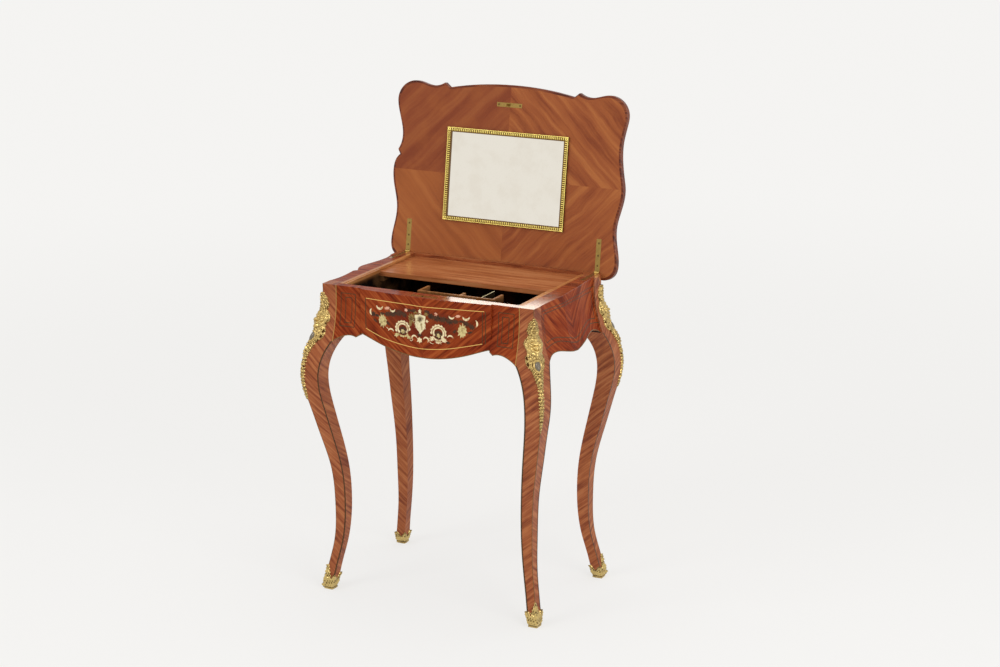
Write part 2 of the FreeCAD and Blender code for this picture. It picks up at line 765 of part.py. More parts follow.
def build_front():
    """Front panel with its bow, stile fillets and shield escutcheon."""
    inner = size.carcass_width / 2 - size.post_size
    side_block = flared_block(size.bow_half_width, inner, size.well_front_reach)
    arch = front_arch()
    bow = bow_block()
    panel = bow.fuse([side_block, side_block.mirror(ORIGIN, X_AXIS)]).removeSplitter()
    stile = flared_block(inner - size.stile_fillet_width, inner, size.well_front_reach)
    fillet = stile.translated(Vector(0, -size.stile_fillet_proud, 0)).cut(
        stile.translated(Vector(0, size.stile_fillet_depth, 0)))
    fillet = fillet.cut(arch).common(block(
        Vector(0, -size.carcass_depth, 0),
        Vector(size.carcass_width, 0, size.rim_height)))
    fillets = Part.makeCompound([fillet, fillet.mirror(ORIGIN, X_AXIS)])
    skin = bow.cut(bow.translated(Vector(0, size.escutcheon_thickness, 0)))
    escutcheon = skin.common(shield())
    holes = [screw_hole(at, -Z_AXIS) for at in lock_screw_points()]
    panel = panel.cut(arch).cut([mortise(), keyhole(), escutcheon] + holes + fillets.Solids)
    shaped("front_panel", panel)
    shaped("stile_fillets", fillets)
    shaped("escutcheon", escutcheon.cut(keyhole()))


def side_section(height, shares):
    """Plan of a side panel at a height, drawn level on the right of the carcass."""
    flare = out_at(knee_line(), height) if height < size.rim_height else 0
    face = size.carcass_width / 2
    half = size.carcass_depth / 2
    front, rear = (
        [Vector(face + flare + size.side_swell * swell, half * along, height) for along, swell in part]
        for part in shares
    )
    inside = face - size.post_size
    front[0].y = -half + size.post_size
    rear[-1].y = half - size.post_size
    return Part.Wire([
        smooth(front).toShape(),
        Part.makeLine(front[-1], rear[0]),
        smooth(rear).toShape(),
        Part.makeLine(rear[-1], Vector(inside, rear[-1].y, height)),
        Part.makeLine(Vector(inside, rear[-1].y, height), Vector(inside, front[0].y, height)),
        Part.makeLine(Vector(inside, front[0].y, height), front[0]),
    ])


def flare_heights(low, high):
    """Heights of the plan sections of a panel that follows the flare of the knees."""
    steps = FLARE_SECTIONS - 1
    return [low + (high - low) * step / steps for step in range(FLARE_SECTIONS)]


def build_sides():
    """Two side panels, swelling in plan and flaring towards the apron."""
    half = size.carcass_depth / 2 - size.post_size
    low = size.side_drop_height - size.cut_overrun
    arch = plain_arch(half).rotated(ORIGIN, Z_AXIS, 90).extrude(Vector(size.carcass_width, 0, 0))
    for name, side in (("left", -1), ("right", 1)):
        shares = side_plan_shares[name]
        sections = [side_section(height, shares) for height in flare_heights(low, size.rim_height)]
        panel = Part.makeLoft(sections, True, False).cut(arch)
        seat = at_axis(hinge_seat(side, False))
        holes = [screw_hole(at, -Z_AXIS) for at in rim_leaf_points(side)]
        shaped("side_panel_" + name, mirrored(panel, side, -1).cut([seat] + holes))


def back_section(height):
    """Plan of the back panel at a height, drawn level."""
    flare = out_at(knee_line(), height)
    half = size.carcass_width / 2 - size.post_size
    face = size.carcass_depth / 2 + flare
    crown = Vector(0, face + size.back_swell, height)
    bow = Part.Arc(Vector(half, face, height), crown, Vector(-half, face, height))
    inside = size.well_back_reach
    return Part.Wire([
        bow.toShape(),
        Part.makeLine(Vector(-half, face, height), Vector(-half, inside, height)),
        Part.makeLine(Vector(-half, inside, height), Vector(half, inside, height)),
        Part.makeLine(Vector(half, inside, height), Vector(half, face, height)),
    ])


def build_back():
    """Back panel, and the rail that caps it and the back posts."""
    half = size.carcass_width / 2 - size.post_size
    low = size.side_drop_height - size.cut_overrun
    high = size.rim_height - size.rail_height
    sections = [back_section(height) for height in flare_heights(low, high)]
    arch = plain_arch(half).extrude(Vector(0, size.carcass_depth, 0))
    shaped("back_panel", Part.makeLoft(sections, True, False).cut(arch))
    wide = size.carcass_width / 2
    back = size.rail_back_reach
    round_off = size.rail_corner
    corners = (
        Vector(wide, size.well_back_reach, high), Vector(wide, back - round_off, high),
        Vector(wide - round_off, back, high),
    )
    bend = Part.Arc(
        corners[1],
        Vector(wide - round_off * (1 - 0.5 ** 0.5), back - round_off * (1 - 0.5 ** 0.5), high),
        corners[2])
    well = size.well_half_width
    right = [
        Part.makeLine(corners[0], corners[1]),
        bend.toShape(),
        Part.makeLine(corners[2], Vector(0, back, high)),
        Part.makeLine(corners[0], Vector(well, size.well_back_reach, high)),
        Part.makeLine(Vector(well, size.well_back_reach, high), Vector(well, size.rail_front_reach, high)),
        Part.makeLine(Vector(well, size.rail_front_reach, high), Vector(0, size.rail_front_reach, high)),
    ]
    rail = closed_face(right + [edge.mirror(ORIGIN, X_AXIS) for edge in right])
    rail = rail.extrude(Vector(0, 0, size.rail_height))
    for side in (-1, 1):
        rail = rail.cut(at_axis(hinge_seat(side, False)))
        rail = rail.cut([screw_hole(at, -Z_AXIS) for at in rim_leaf_points(side)])
    shaped("back_rail", rail)


# Boards inside the carcass

def build_well():
    """Bottom board, linings, beads, deck with its bearers, and dividers."""
    inner = "(carcass_width / 2 - post_size)"
    floor = "bottom_height + bottom_thickness"
    board("bottom_board", "-" + inner, inner, "-well_front_reach", "well_back_reach",
          "bottom_height", "bottom_thickness")
    board("deck_board", "-well_half_width", "well_half_width", "deck_front_reach", "rail_front_reach",
          "rim_height - deck_drop - deck_thickness", "deck_thickness")
    for name, sign in (("left", "-"), ("right", "")):
        edge = sign + "well_half_width"
        board("well_lining_" + name, edge, sign + inner, "-well_front_reach", "well_back_reach",
              floor, "rim_height - " + floor.replace("+", "-"))
        bearer_edge = sign + "(well_half_width - bearer_width)"
        board("deck_bearer_" + name, bearer_edge, edge, "deck_front_reach", "well_back_reach",
              "rim_height - deck_drop - deck_thickness - bearer_height", "bearer_height")
        bead_edge = sign + "(well_half_width - bead_width)"
        board("lining_bead_" + name, bead_edge, edge, "-well_front_reach", "deck_front_reach",
              "rim_height - bead_drop - bead_height", "bead_height")
    rise = "rim_height - divider_drop - bottom_height - bottom_thickness"
    board("divider_long", "-divider_left", "divider_right", "-divider_reach",
          "-divider_reach + divider_thickness", floor, rise)
    crossings = (
        ("cross_left", "-divider_left", "divider_thickness", "cross_divider_length"),
        ("cross_middle", "divider_middle", "divider_thickness", "middle_divider_length"),
        ("slip", "divider_slip", "divider_slip_thickness", "divider_slip_length"),
        ("cross_right", "divider_right - divider_thickness", "divider_thickness", "cross_divider_length"),
    )
    for name, left, thickness, length in crossings:
        board("divider_" + name, left, left + " + " + thickness,
              "-divider_reach + divider_thickness", "-divider_reach + divider_thickness + " + length,
              floor, rise)


# Lock

def build_lock():
    """Lock case with its chamber, selvedge, screws, and the bolt that slides along X."""
    top = size.rim_height - size.selvedge_thickness
    reach = -size.lock_reach
    left = size.lock_offset - size.lock_case_width / 2
    right = size.lock_offset + size.lock_case_width / 2
    half_depth = size.lock_case_depth / 2
    floor = top - size.lock_chamber_height
    case = block(
        Vector(left, reach - half_depth, size.rim_height - size.lock_case_height),
        Vector(right, reach + half_depth, top))
    chamber = block(
        Vector(left + size.lock_wall, reach - half_depth + size.lock_wall, floor),
        Vector(right - size.lock_wall, reach + half_depth - size.lock_wall, top + size.cut_overrun))
    shaped("lock_case", case.cut([chamber, keyhole()]))
    clear = size.moving_clearance
    slot_half_width = size.staple_thickness / 2 + size.staple_slot_clearance
    slot_half_depth = size.staple_width / 2 + size.staple_slot_clearance
    slot = block(
        Vector(size.keyhole_offset - slot_half_width, reach - slot_half_depth, top - size.cut_overrun),
        Vector(size.keyhole_offset + slot_half_width, reach + slot_half_depth,
               size.rim_height + size.cut_overrun))
    holes = [screw_hole(at, -Z_AXIS) for at in lock_screw_points()]
    shaped("lock_selvedge", selvedge_block(0).cut([slot] + holes))
    shaped("lock_screws", Part.makeCompound([screw(at, -Z_AXIS) for at in lock_screw_points()]))
    body_depth = half_depth - size.lock_wall - clear
    nose_start = size.keyhole_offset + size.staple_thickness / 2 + clear
    body_start = nose_start + size.bolt_travel
    body = block(
        Vector(body_start, reach - body_depth, floor + clear),
        Vector(body_start + size.bolt_body_length, reach + body_depth,
               floor + clear + size.bolt_body_height))
    eye = size.rim_height + size.lid_gap - size.staple_depth + size.staple_bar
    nose_low = eye + (size.staple_eye_height - size.bolt_nose_height) / 2
    nose = block(
        Vector(nose_start, reach - size.bolt_nose_width / 2, nose_low),
        Vector(body_start + size.bolt_nose_width, reach + size.bolt_nose_width / 2,
               nose_low + size.bolt_nose_height))
    shaped("lock_bolt", body.fuse(nose).removeSplitter())


# Lid

def lid_outline(inset):
    """Outline of the closed lid, drawn level at the height of its underside, inset all round."""
    half = size.lid_width / 2 - inset
    back = size.lid_back_reach - inset
    whole = size.lid_front_reach + size.lid_back_reach - inset * 2

    def points(shares, side):
        return [Vector(side * half * across, back - whole * along, size.lid_gap) for across, along in shares]

    bow = points(tuple(reversed(lid_bow_shares)), -1)[:-1] + points(lid_bow_shares, 1)
    right = points(lid_ear_shares + lid_right_waist_shares + lid_side_shares, 1)
    upper = points(lid_ear_shares + lid_left_upper_waist_shares, -1)
    lower = points(lid_left_lower_waist_shares + lid_side_shares, -1)
    return closed_face([
        smooth(bow).toShape(),
        Part.makeLine(bow[-1], right[0]),
        smooth(right).toShape(),
        Part.makeLine(right[-1], lower[-1]),
        smooth(lower).toShape(),
        Part.makeLine(upper[-1], lower[0]),
        smooth(upper).toShape(),
        Part.makeLine(bow[0], upper[0]),
    ])


def edges_at(shape, height):
    """The edges of a shape that lie level at a height."""
    near = size.fit_clearance
    return [
        edge for edge in shape.Edges
        if abs(edge.BoundBox.ZMin - height) < near and abs(edge.BoundBox.ZMax - height) < near
    ]


def strike_screw_points():
    """The two screws of the strike plate, with the lid closed."""
    reach = -size.hinge_reach - size.lock_reach
    across = size.strike_length / 2 - size.strike_width / 2
    return [Vector(size.lock_offset + side * across, reach, size.lid_gap) for side in (-1, 1)]


def strike_block(loose, low, high):
    """The strike plate's own outline between two levels, with this much air around it."""
    strike = -size.hinge_reach - size.lock_reach
    half_length = size.strike_length / 2 + loose
    half_width = size.strike_width / 2 + loose
    return block(
        Vector(size.lock_offset - half_length, strike - half_width, low),
        Vector(size.lock_offset + half_length, strike + half_width, high))


def build_lid():
    """Lid board in its edge moulding."""
    board_blank = lid_outline(size.lid_moulding_width).extrude(Vector(0, 0, size.lid_thickness))
    rim = lid_outline(0).extrude(Vector(0, 0, size.lid_thickness))
    top = size.lid_gap + size.lid_thickness
    rim = rim.makeChamfer(size.lid_top_bevel, edges_at(rim, top))
    rim = rim.makeChamfer(size.lid_arris_bevel, edges_at(rim, size.lid_gap))
    seats = [hinge_seat(side, True) for side in (-1, 1)]
    shaped("lid_edge_moulding", rim.cut(board_blank).cut(seats), "lid")
    plate = strike_block(
        size.fit_clearance, size.lid_gap - size.cut_overrun, size.lid_gap + size.strike_thickness)
    holes = [screw_hole(at, Z_AXIS) for side in (-1, 1) for at in lid_leaf_points(side)]
    holes += [screw_hole(at, Z_AXIS) for at in strike_screw_points()]
    shaped("lid_board", board_blank.cut(seats + [plate] + holes), "lid")


def build_mirror():
    """Backing, glass and the four mitred bars of the frame, on the underside of the lid."""
    half_glass = "(frame_width / 2 - frame_bar_width + mirror_lap)"
    near_glass = "-(frame_low_reach + frame_bar_width - mirror_lap)"
    far_glass = "-(frame_low_reach + frame_height - frame_bar_width + mirror_lap)"
    board("mirror_backing", "-" + half_glass, half_glass, far_glass, near_glass,
          "lid_gap - backing_thickness", "backing_thickness", "lid")
    board("mirror_glass", "-" + half_glass, half_glass, far_glass, near_glass,
          "lid_gap - backing_thickness - mirror_thickness", "mirror_thickness", "lid")
    outer = "frame_width / 2"
    inner = "(frame_width / 2 - frame_bar_width)"
    near = "-frame_low_reach"
    near_in = "-(frame_low_reach + frame_bar_width)"
    far = "-(frame_low_reach + frame_height)"
    far_in = "-(frame_low_reach + frame_height - frame_bar_width)"
    bars = {
        "top": (("-" + outer, far), (outer, far), (inner, far_in), ("-" + inner, far_in)),
        "bottom": (("-" + outer, near), ("-" + inner, near_in), (inner, near_in), (outer, near)),
        "left": (("-" + outer, near), ("-" + outer, far), ("-" + inner, far_in), ("-" + inner, near_in)),
        "right": ((outer, far), (outer, near), (inner, near_in), (inner, far_in)),
    }
    low = evaluate("lid_gap - backing_thickness - mirror_thickness")
    rebate = block(
        Vector(-evaluate(half_glass), evaluate(far_glass), low),
        Vector(evaluate(half_glass), evaluate(near_glass), size.lid_gap + size.cut_overrun))
    tool = document.addObject("Part::Feature", "frame_rebate")
    tool.Shape = rebate
    for name, corners in bars.items():
        blank = slab("frame_blank_" + name, corners, "lid_gap - frame_bar_depth", "frame_bar_depth")
        pieces.pop()
        bar = document.addObject("Part::Cut", "mirror_frame_" + name)
        bar.Base = blank
        bar.Tool = tool
        piece("mirror_frame_" + name, bar, "lid")


def build_strike():
    """Strike plate let in flush, with the staple that enters the lock."""
    strike = -size.hinge_reach - size.lock_reach
    plate = strike_block(0, size.lid_gap, size.lid_gap + size.strike_thickness)
    holes = [screw_hole(at, Z_AXIS) for at in strike_screw_points()]
    shaped("strike_plate", plate.cut(holes), "lid")
    low = size.lid_gap - size.staple_depth
    staple = block(
        Vector(-size.staple_thickness / 2, strike - size.staple_width / 2, low),
        Vector(size.staple_thickness / 2, strike + size.staple_width / 2, size.lid_gap))
    eye = block(
        Vector(-size.staple_thickness, strike - size.staple_width / 2 + size.staple_bar,
               low + size.staple_bar),
        Vector(size.staple_thickness, strike + size.staple_width / 2 - size.staple_bar,
               low + size.staple_bar + size.staple_eye_height))
    staple = staple.cut(eye).translated(Vector(size.keyhole_offset, 0, 0))
    shaped("strike_staple", staple, "lid")
    screws = [screw(at, Z_AXIS) for at in strike_screw_points()]
    shaped("strike_screws", Part.makeCompound(screws), "lid")


def check(thing):
    """Stop on an object that failed to build."""
    if "Invalid" in thing.State or "Error" in thing.State:
        raise RuntimeError("%s failed: %s" % (thing.Name, thing.State))


def place_pieces():
    """Hang the lid open, and set the origin under the middle of the whole table."""
    carcass = Placement()
    lid = Placement(
        Vector(0, size.hinge_reach, size.rim_height), Rotation(X_AXIS, -size.lid_open_angle))
    benches = {"carcass": carcass, "lid": lid}
    for thing, bench in pieces:
        thing.Placement = benches[bench].multiply(thing.Placement)
    document.recompute()
    boxes = [thing.Shape.optimalBoundingBox(False, False) for thing, bench in pieces]
    low = min(box.YMin for box in boxes)
    high = max(box.YMax for box in boxes)
    shift = Placement(Vector(0, -(low + high) / 2, 0), Rotation())
    for thing, bench in pieces:
        thing.Placement = shift.multiply(thing.Placement)
    document.recompute()
    print("frame shift along Y: %.4f" % shift.Base.y)


def write_pieces():
    """Check every object, then write each piece to its own file."""
    for thing in document.Objects:
        check(thing)
    os.makedirs("parts", exist_ok=True)
    for thing, bench in pieces:
        shape = thing.Shape
        if shape.isNull() or not shape.isValid() or not shape.Solids:
            raise RuntimeError("%s has no valid solid" % thing.Label)
        shape.exportStep("parts/%s.step" % thing.Label)
    print("%d pieces" % len(pieces))


build_legs()
build_front()
build_sides()
build_back()
build_well()
build_lock()
build_hinges()
build_lid()
build_mirror()
build_strike()
document.recompute()
place_pieces()
write_pieces()
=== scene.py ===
import json
import math

import bmesh
import bpy
import numpy as np
from mathutils import Color, Matrix, Vector
from mathutils.bvhtree import BVHTree
from mathutils.geometry import delaunay_2d_cdt


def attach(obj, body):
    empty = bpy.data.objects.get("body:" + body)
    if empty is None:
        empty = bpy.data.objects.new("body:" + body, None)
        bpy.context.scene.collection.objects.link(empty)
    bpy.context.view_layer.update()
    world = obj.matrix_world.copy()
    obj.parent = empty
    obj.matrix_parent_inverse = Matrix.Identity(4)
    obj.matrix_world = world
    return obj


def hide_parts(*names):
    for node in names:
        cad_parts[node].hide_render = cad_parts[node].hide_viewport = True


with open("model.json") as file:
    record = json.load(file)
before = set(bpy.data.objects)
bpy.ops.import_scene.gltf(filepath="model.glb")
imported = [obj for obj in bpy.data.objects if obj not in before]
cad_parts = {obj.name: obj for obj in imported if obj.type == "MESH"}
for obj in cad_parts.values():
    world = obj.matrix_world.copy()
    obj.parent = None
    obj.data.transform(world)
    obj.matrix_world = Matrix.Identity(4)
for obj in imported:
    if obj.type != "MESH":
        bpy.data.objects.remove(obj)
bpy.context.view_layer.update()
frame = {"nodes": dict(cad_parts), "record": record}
nodes = frame["nodes"]

# One millimetre, in metres
MM = 0.001

# Camera
LENS = 86.4
SENSOR_WIDTH = 36.0
CAMERA_PLACE = (2.4619, -4.6112, 2.0278)
CAMERA_RIGHT = (0.88933, 0.45722, -0.00626)
CAMERA_UP = (-0.11594, 0.23872, 0.96414)
CAMERA_BACK = (0.44232, -0.85672, 0.26531)


def new_object(name, data):
    """A new object in the scene."""
    made = bpy.data.objects.new(name, data)
    bpy.context.scene.collection.objects.link(made)
    return made


def set_camera():
    """The view that shows the table from its right front, from above the rim."""
    data = bpy.data.cameras.new("camera")
    data.lens = LENS
    data.sensor_width = SENSOR_WIDTH
    camera = new_object("camera", data)
    turn = Matrix((CAMERA_RIGHT, CAMERA_UP, CAMERA_BACK)).transposed()
    camera.matrix_world = Matrix.Translation(CAMERA_PLACE) @ turn.to_4x4()
    bpy.context.scene.camera = camera


# Shader building

CARD_WHITE = 255


def tone(*card):
    """A colour from a sample card, red, green and blue from 0 to 255, in linear light."""
    shares = Color([part / CARD_WHITE for part in card]).from_srgb_to_scene_linear()
    return (*shares, 1.0)


class Value:
    """What a node gives, ready for plain sums."""

    def __init__(self, net, socket):
        self.net = net
        self.socket = socket

    def work(self, operation, *others):
        return self.net.calc(operation, self, *others)

    def __add__(self, other):
        return self.work("ADD", other)

    def __sub__(self, other):
        return self.work("SUBTRACT", other)

    def __mul__(self, other):
        return self.work("MULTIPLY", other)

    def __truediv__(self, other):
        return self.work("DIVIDE", other)

    def __abs__(self):
        return self.work("ABSOLUTE")

    def __lt__(self, other):
        return self.work("LESS_THAN", other)

    def __gt__(self, other):
        return self.work("GREATER_THAN", other)


class Net:
    """A node tree, and the nodes placed in it."""

    def __init__(self, tree):
        self.tree = tree

    def wire(self, sockets, **values):
        """Links each named socket, or sets a plain value on it."""
        for name, value in values.items():
            self.join(sockets[name.replace("_", " ")], value)

    def join(self, socket, value):
        """Links a socket, or sets a plain value on it."""
        if isinstance(value, Value):
            self.tree.links.new(value.socket, socket)
        else:
            socket.default_value = value

    def node(self, kind, wires=None, **settings):
        """A shader node with its settings, its inputs wired or set."""
        made = self.tree.nodes.new("ShaderNode" + kind)
        for name, value in settings.items():
            setattr(made, name, value)
        for name, value in (wires or {}).items():
            self.join(made.inputs[name], value)
        return made

    def value(self, kind, wires=None, output=0, **settings):
        """One value from a new shader node."""
        return Value(self, self.node(kind, wires, **settings).outputs[output])

    def values(self, made):
        """All that a node gives, by name."""
        return {socket.name: Value(self, socket) for socket in made.outputs}

    def use(self, group, **values):
        """What a node group gives for these values."""
        made = self.node("Group", node_tree=group)
        self.wire(made.inputs, **values)
        return self.values(made)

    def calc(self, operation, *values, clamp=False):
        """A sum of one or more values."""
        return self.value("Math", dict(enumerate(values)), operation=operation, use_clamp=clamp)

    def blend(self, share, first, second):
        """Two colours mixed by a share."""
        return self.value("Mix", {0: share, 6: first, 7: second}, 2, data_type="RGBA")

    def rise(self, value, low, high, bottom=0.0, top=1.0):
        """A smooth rise from bottom to top as the value goes from low to high."""
        return self.value("MapRange", {"Value": value, "From Min": low, "From Max": high,
                                       "To Min": bottom, "To Max": top},
                          interpolation_type="SMOOTHSTEP")

    def noise(self, vector, scale, detail=2.0, roughness=0.5):
        """Cloudy noise from 0 to 1."""
        return self.value("TexNoise", {"Vector": vector, "Scale": scale, "Detail": detail,
                                       "Roughness": roughness}, "Fac")

    def parts(self, vector):
        """The three parts of a vector."""
        return self.values(self.node("SeparateXYZ", {"Vector": vector})).values()

    def joined(self, x, y, z):
        """A vector of three parts."""
        return self.value("CombineXYZ", {"X": x, "Y": y, "Z": z})

    def length(self, vector):
        """How long a vector is."""
        return self.value("VectorMath", {0: vector}, "Value", operation="LENGTH")

    def bumped(self, height, strength, distance):
        """A normal that follows a height."""
        return self.value("Bump", {"Height": height, "Strength": strength, "Distance": distance})

    def stored(self, name):
        """A share that is stored at the corners of a mesh."""
        return self.value("Attribute", output="Fac", attribute_name=name)


def new_group(name, inputs, *outputs):
    """An empty node group with named inputs and outputs, Color or else plain numbers."""
    tree = bpy.data.node_groups.new(name, "ShaderNodeTree")
    for label, value in inputs.items():
        kind = "Float"
        if isinstance(value, tuple):
            kind = "Vector" if len(value) == 3 else "Color"
        socket = tree.interface.new_socket(label, in_out="INPUT", socket_type="NodeSocket" + kind)
        socket.default_value = value
    for label in outputs:
        kind = "Color" if label == "Color" else "Float"
        tree.interface.new_socket(label, in_out="OUTPUT", socket_type="NodeSocket" + kind)
    net = Net(tree)
    given = net.values(tree.nodes.new("NodeGroupInput"))
    return net, given, tree.nodes.new("NodeGroupOutput").inputs


NO_PLACE = (0.0, 0.0, 0.0)
# The wood figure: how coarse its drift is, how stripes and fibres stretch along the grain,
# where streaks, lines and pores start and are full, and how much colour and height they give
DRIFT_SCALE = 9.0
STRIPE_STRETCH = 0.055
FIBRE_STRETCH = 0.03
STREAKS = (0.30, 0.70)
DARK_LINES = (0.56, 0.68)
LINE_DEPTH = 7.0
LINE_SCALE = 2.3
PORES = (0.60, 0.70)
PORE_SHARE = 0.45
LIGHT_FIBRES = (0.45, 0.30)
LIGHT_FIBRE_SHARE = 0.30
STREAK_HEIGHT = 0.3


def make_wood_figure():
    """Streaks, fibres and pores of sawn veneer, and the colour that they give."""
    net, given, wanted = new_group(
        "wood figure",
        {"Across": 0.0, "Along": 0.0, "Depth": 0.0, "Stripe": 0.006, "Fibre": 0.0007,
         "Wander": 0.002, "Dark": (0.1, 0.05, 0.02, 1.0), "Middle": (0.2, 0.1, 0.05, 1.0),
         "Light": (0.3, 0.2, 0.1, 1.0), "Line Strength": 0.5}, "Color", "Pore", "Height")
    across, along, depth = given["Across"], given["Along"], given["Depth"]
    stripe, fibre_width = given["Stripe"], given["Fibre"]
    dark, light = given["Dark"], given["Light"]
    drift = net.noise(net.joined(across, along, depth), DRIFT_SCALE)
    bent = across + (drift - 0.5) * given["Wander"]
    stripe_across, stripe_along = bent / stripe, along * STRIPE_STRETCH / stripe
    streak = net.noise(net.joined(stripe_across, stripe_along, depth), 1.0, 4.0, 0.62)
    streak = net.rise(streak, *STREAKS)
    fibre_along = along * FIBRE_STRETCH / fibre_width
    fibre = net.noise(net.joined(bent / fibre_width, fibre_along, depth), 1.0, 3.0, 0.7)
    line = net.noise(net.joined(stripe_across, stripe_along, LINE_DEPTH), LINE_SCALE)
    line = net.rise(line, *DARK_LINES)
    pore = net.rise(fibre, *PORES)
    lower = net.blend(net.rise(streak, 0.0, 0.5), dark, given["Middle"])
    colour = net.blend(net.rise(streak, 0.45, 1.0), lower, light)
    colour = net.blend(line * given["Line Strength"], colour, dark)
    colour = net.blend(pore * PORE_SHARE, colour, dark)
    colour = net.blend(net.rise(fibre, *LIGHT_FIBRES) * LIGHT_FIBRE_SHARE, colour, light)
    net.wire(wanted, Color=colour, Pore=pore, Height=streak * STREAK_HEIGHT - pore)
    return net.tree


# Where a finish is rubbed, dusty or scratched, by its noise, and how coarse the dust is
RUBBED_PLACES = (0.42, 0.68)
DUSTY_PLACES = (0.58, 0.40)
SCRATCHED_PLACES = (0.52, 0.66)
DUST_SCALE = 900.0


def make_handling():
    """Rubbed places, settled dust and fine scratches on any finish."""
    net, given, wanted = new_group("handling", {"Position": NO_PLACE, "Patch": 14.0,
                                                "Scratch": 160.0}, "Rubbed", "Dust", "Scratch")
    cloud = net.noise(given["Position"], given["Patch"], 4.0, 0.6)
    fine = net.noise(given["Position"], DUST_SCALE, 2.0, 0.7)
    x, y, z = net.parts(given["Position"])
    scratch = net.noise(net.joined(x * 0.12, y, z * 0.4), given["Scratch"], 5.0, 0.75)
    net.wire(wanted, Rubbed=net.rise(cloud, *RUBBED_PLACES),
             Dust=net.rise(cloud, *DUSTY_PLACES) * fine,
             Scratch=net.rise(scratch, *SCRATCHED_PLACES))
    return net.tree


# Where gilding is worn, how much brown shows there, and its roughness, gold and brown
WORN_GILDING = (0.40, 0.64)
WORN_BROWN = 0.35
GILDING_ROUGHNESS = (0.17, 0.5)
FULL_BROWN = 0.9


def make_gilding():
    """Burnished and matt gold over bronze, brown left in the recesses and painted shade there."""
    net, given, wanted = new_group(
        "gilding", {"Position": NO_PLACE, "Hollow": 0.0, "Gold": (0.8, 0.6, 0.3, 1.0),
                    "Brown": (0.2, 0.1, 0.03, 1.0)}, "Color", "Roughness", "Height")
    cloud = net.noise(given["Position"], 60.0, 4.0, 0.65)
    grains = net.noise(given["Position"], 1400.0, 3.0, 0.7)
    worn = net.rise(cloud, *WORN_GILDING) * WORN_BROWN * grains
    # The recess share brings brown patina and painted shade together
    brown_share = net.calc("ADD", given["Hollow"], worn, clamp=True)
    net.wire(wanted, Color=net.blend(brown_share, given["Gold"], given["Brown"]),
             Roughness=net.rise(brown_share, 0.0, FULL_BROWN, *GILDING_ROUGHNESS), Height=grains)
    return net.tree


def make_rising_stripes():
    """Where a point lies on veneer whose stripes rise away from the middle of every face."""
    net, given, wanted = new_group(
        "rising stripes", {"Position": NO_PLACE, "Facing": (0.0, 0.0, 1.0), "Front Lean": 0.7,
                           "Side Lean": 0.7, "Side Middle": 0.0}, "Across", "Along", "Depth")
    x, y, z = net.parts(given["Position"])
    face_x, face_y, _ = net.parts(given["Facing"])
    on_side = abs(face_x) > abs(face_y)
    front_out, front_lean = abs(x), given["Front Lean"]
    out = (abs(y - given["Side Middle"]) - front_out) * on_side + front_out
    lean = (given["Side Lean"] - front_lean) * on_side + front_lean
    sine, cosine = lean.work("SINE"), lean.work("COSINE")
    net.wire(wanted, Across=out * sine - z * cosine, Along=out * cosine + z * sine,
             Depth=on_side * 3.0 + x.work("SIGN"))
    return net.tree


def make_straight_grain():
    """Where a point lies in solid wood whose grain runs along its position's first part."""
    net, given, wanted = new_group("straight grain", {"Position": NO_PLACE},
                                   "Across", "Along", "Depth")
    x, y, z = net.parts(given["Position"])
    net.wire(wanted, Across=z * 0.7 + y, Along=x, Depth=z)
    return net.tree


HATCHED_PLACES = (0.54, 0.66)
HATCHING_SHARE = 0.55
SHADED_PLACES = (0.46, 0.66)


def make_cut_veneer():
    """Sand-shaded clouds and fine engraved hatching on a small piece of stained veneer."""
    net, given, wanted = new_group(
        "cut veneer", {"Position": NO_PLACE, "Cloud": 130.0, "Light": (0.8, 0.7, 0.5, 1.0),
                       "Dark": (0.5, 0.4, 0.2, 1.0)}, "Color", "Height")
    cloud = net.noise(given["Position"], given["Cloud"], 3.0, 0.6)
    x, y, z = net.parts(given["Position"])
    hatch = net.noise(net.joined(x * 2.6, y, z), 700.0, 2.0, 0.7)
    hatched = net.rise(hatch, *HATCHED_PLACES) * HATCHING_SHARE
    shaded = net.rise(cloud, *SHADED_PLACES).work("MAXIMUM", hatched)
    net.wire(wanted, Color=net.blend(shaded, given["Light"], given["Dark"]), Height=hatch)
    return net.tree


# The heights of the rim's polished top edge, and the places across it between which the
# polish goes from worn to bright, in metres
RIM_HEIGHTS = (0.7208, 0.7214)
RIM_WEAR_REACH = (-0.16, 0.10)
RIM_WORN_SHARE = 0.15
RIM_POLISH = 0.9


def make_rim_polish():
    """The polish that is left on the rim's top edge, worn towards the left."""
    net, given, wanted = new_group("rim polish", {"Position": NO_PLACE}, "Weight")
    x, _, z = net.parts(given["Position"])
    kept = net.rise(x, *RIM_WEAR_REACH, RIM_WORN_SHARE, 1.0)
    net.wire(wanted, Weight=net.rise(z, *RIM_HEIGHTS, 0.0, RIM_POLISH) * kept)
    return net.tree


wood_figure = make_wood_figure()
handling = make_handling()
gilding = make_gilding()
rising_stripes = make_rising_stripes()
straight_grain = make_straight_grain()
cut_veneer = make_cut_veneer()
rim_polish = make_rim_polish()


finishes = {}


def new_finish(name):
    """A material under this name: its net, its shader's inputs, and the places on the object."""
    material = bpy.data.materials.new(name)
    material.use_nodes = True
    finishes[name] = material
    net = Net(material.node_tree)
    spots = net.values(net.node("TexCoord"))
    return net, net.tree.nodes["Principled BSDF"].inputs, spots


# How far each veneer rises from the level
FRONT_LEAN = math.radians(40.0)
LEG_SIDE_LEAN = math.radians(34.0)
PANEL_SIDE_LEAN = math.radians(42.0)
# The middle of the side panels and of the legs, front to back
PANEL_MIDDLE = -0.0165
LEG_MIDDLE = -0.0240285
# The open lid: its hinge line, the directions in its board, and where its quarters meet
HINGE_Y = 0.1619742
HINGE_Z = 0.722
LID_RISE_Y = 0.1492
LID_RISE_Z = 0.9888
LID_QUARTER_HEIGHT = 0.191
LID_LEAN = math.radians(44.0)


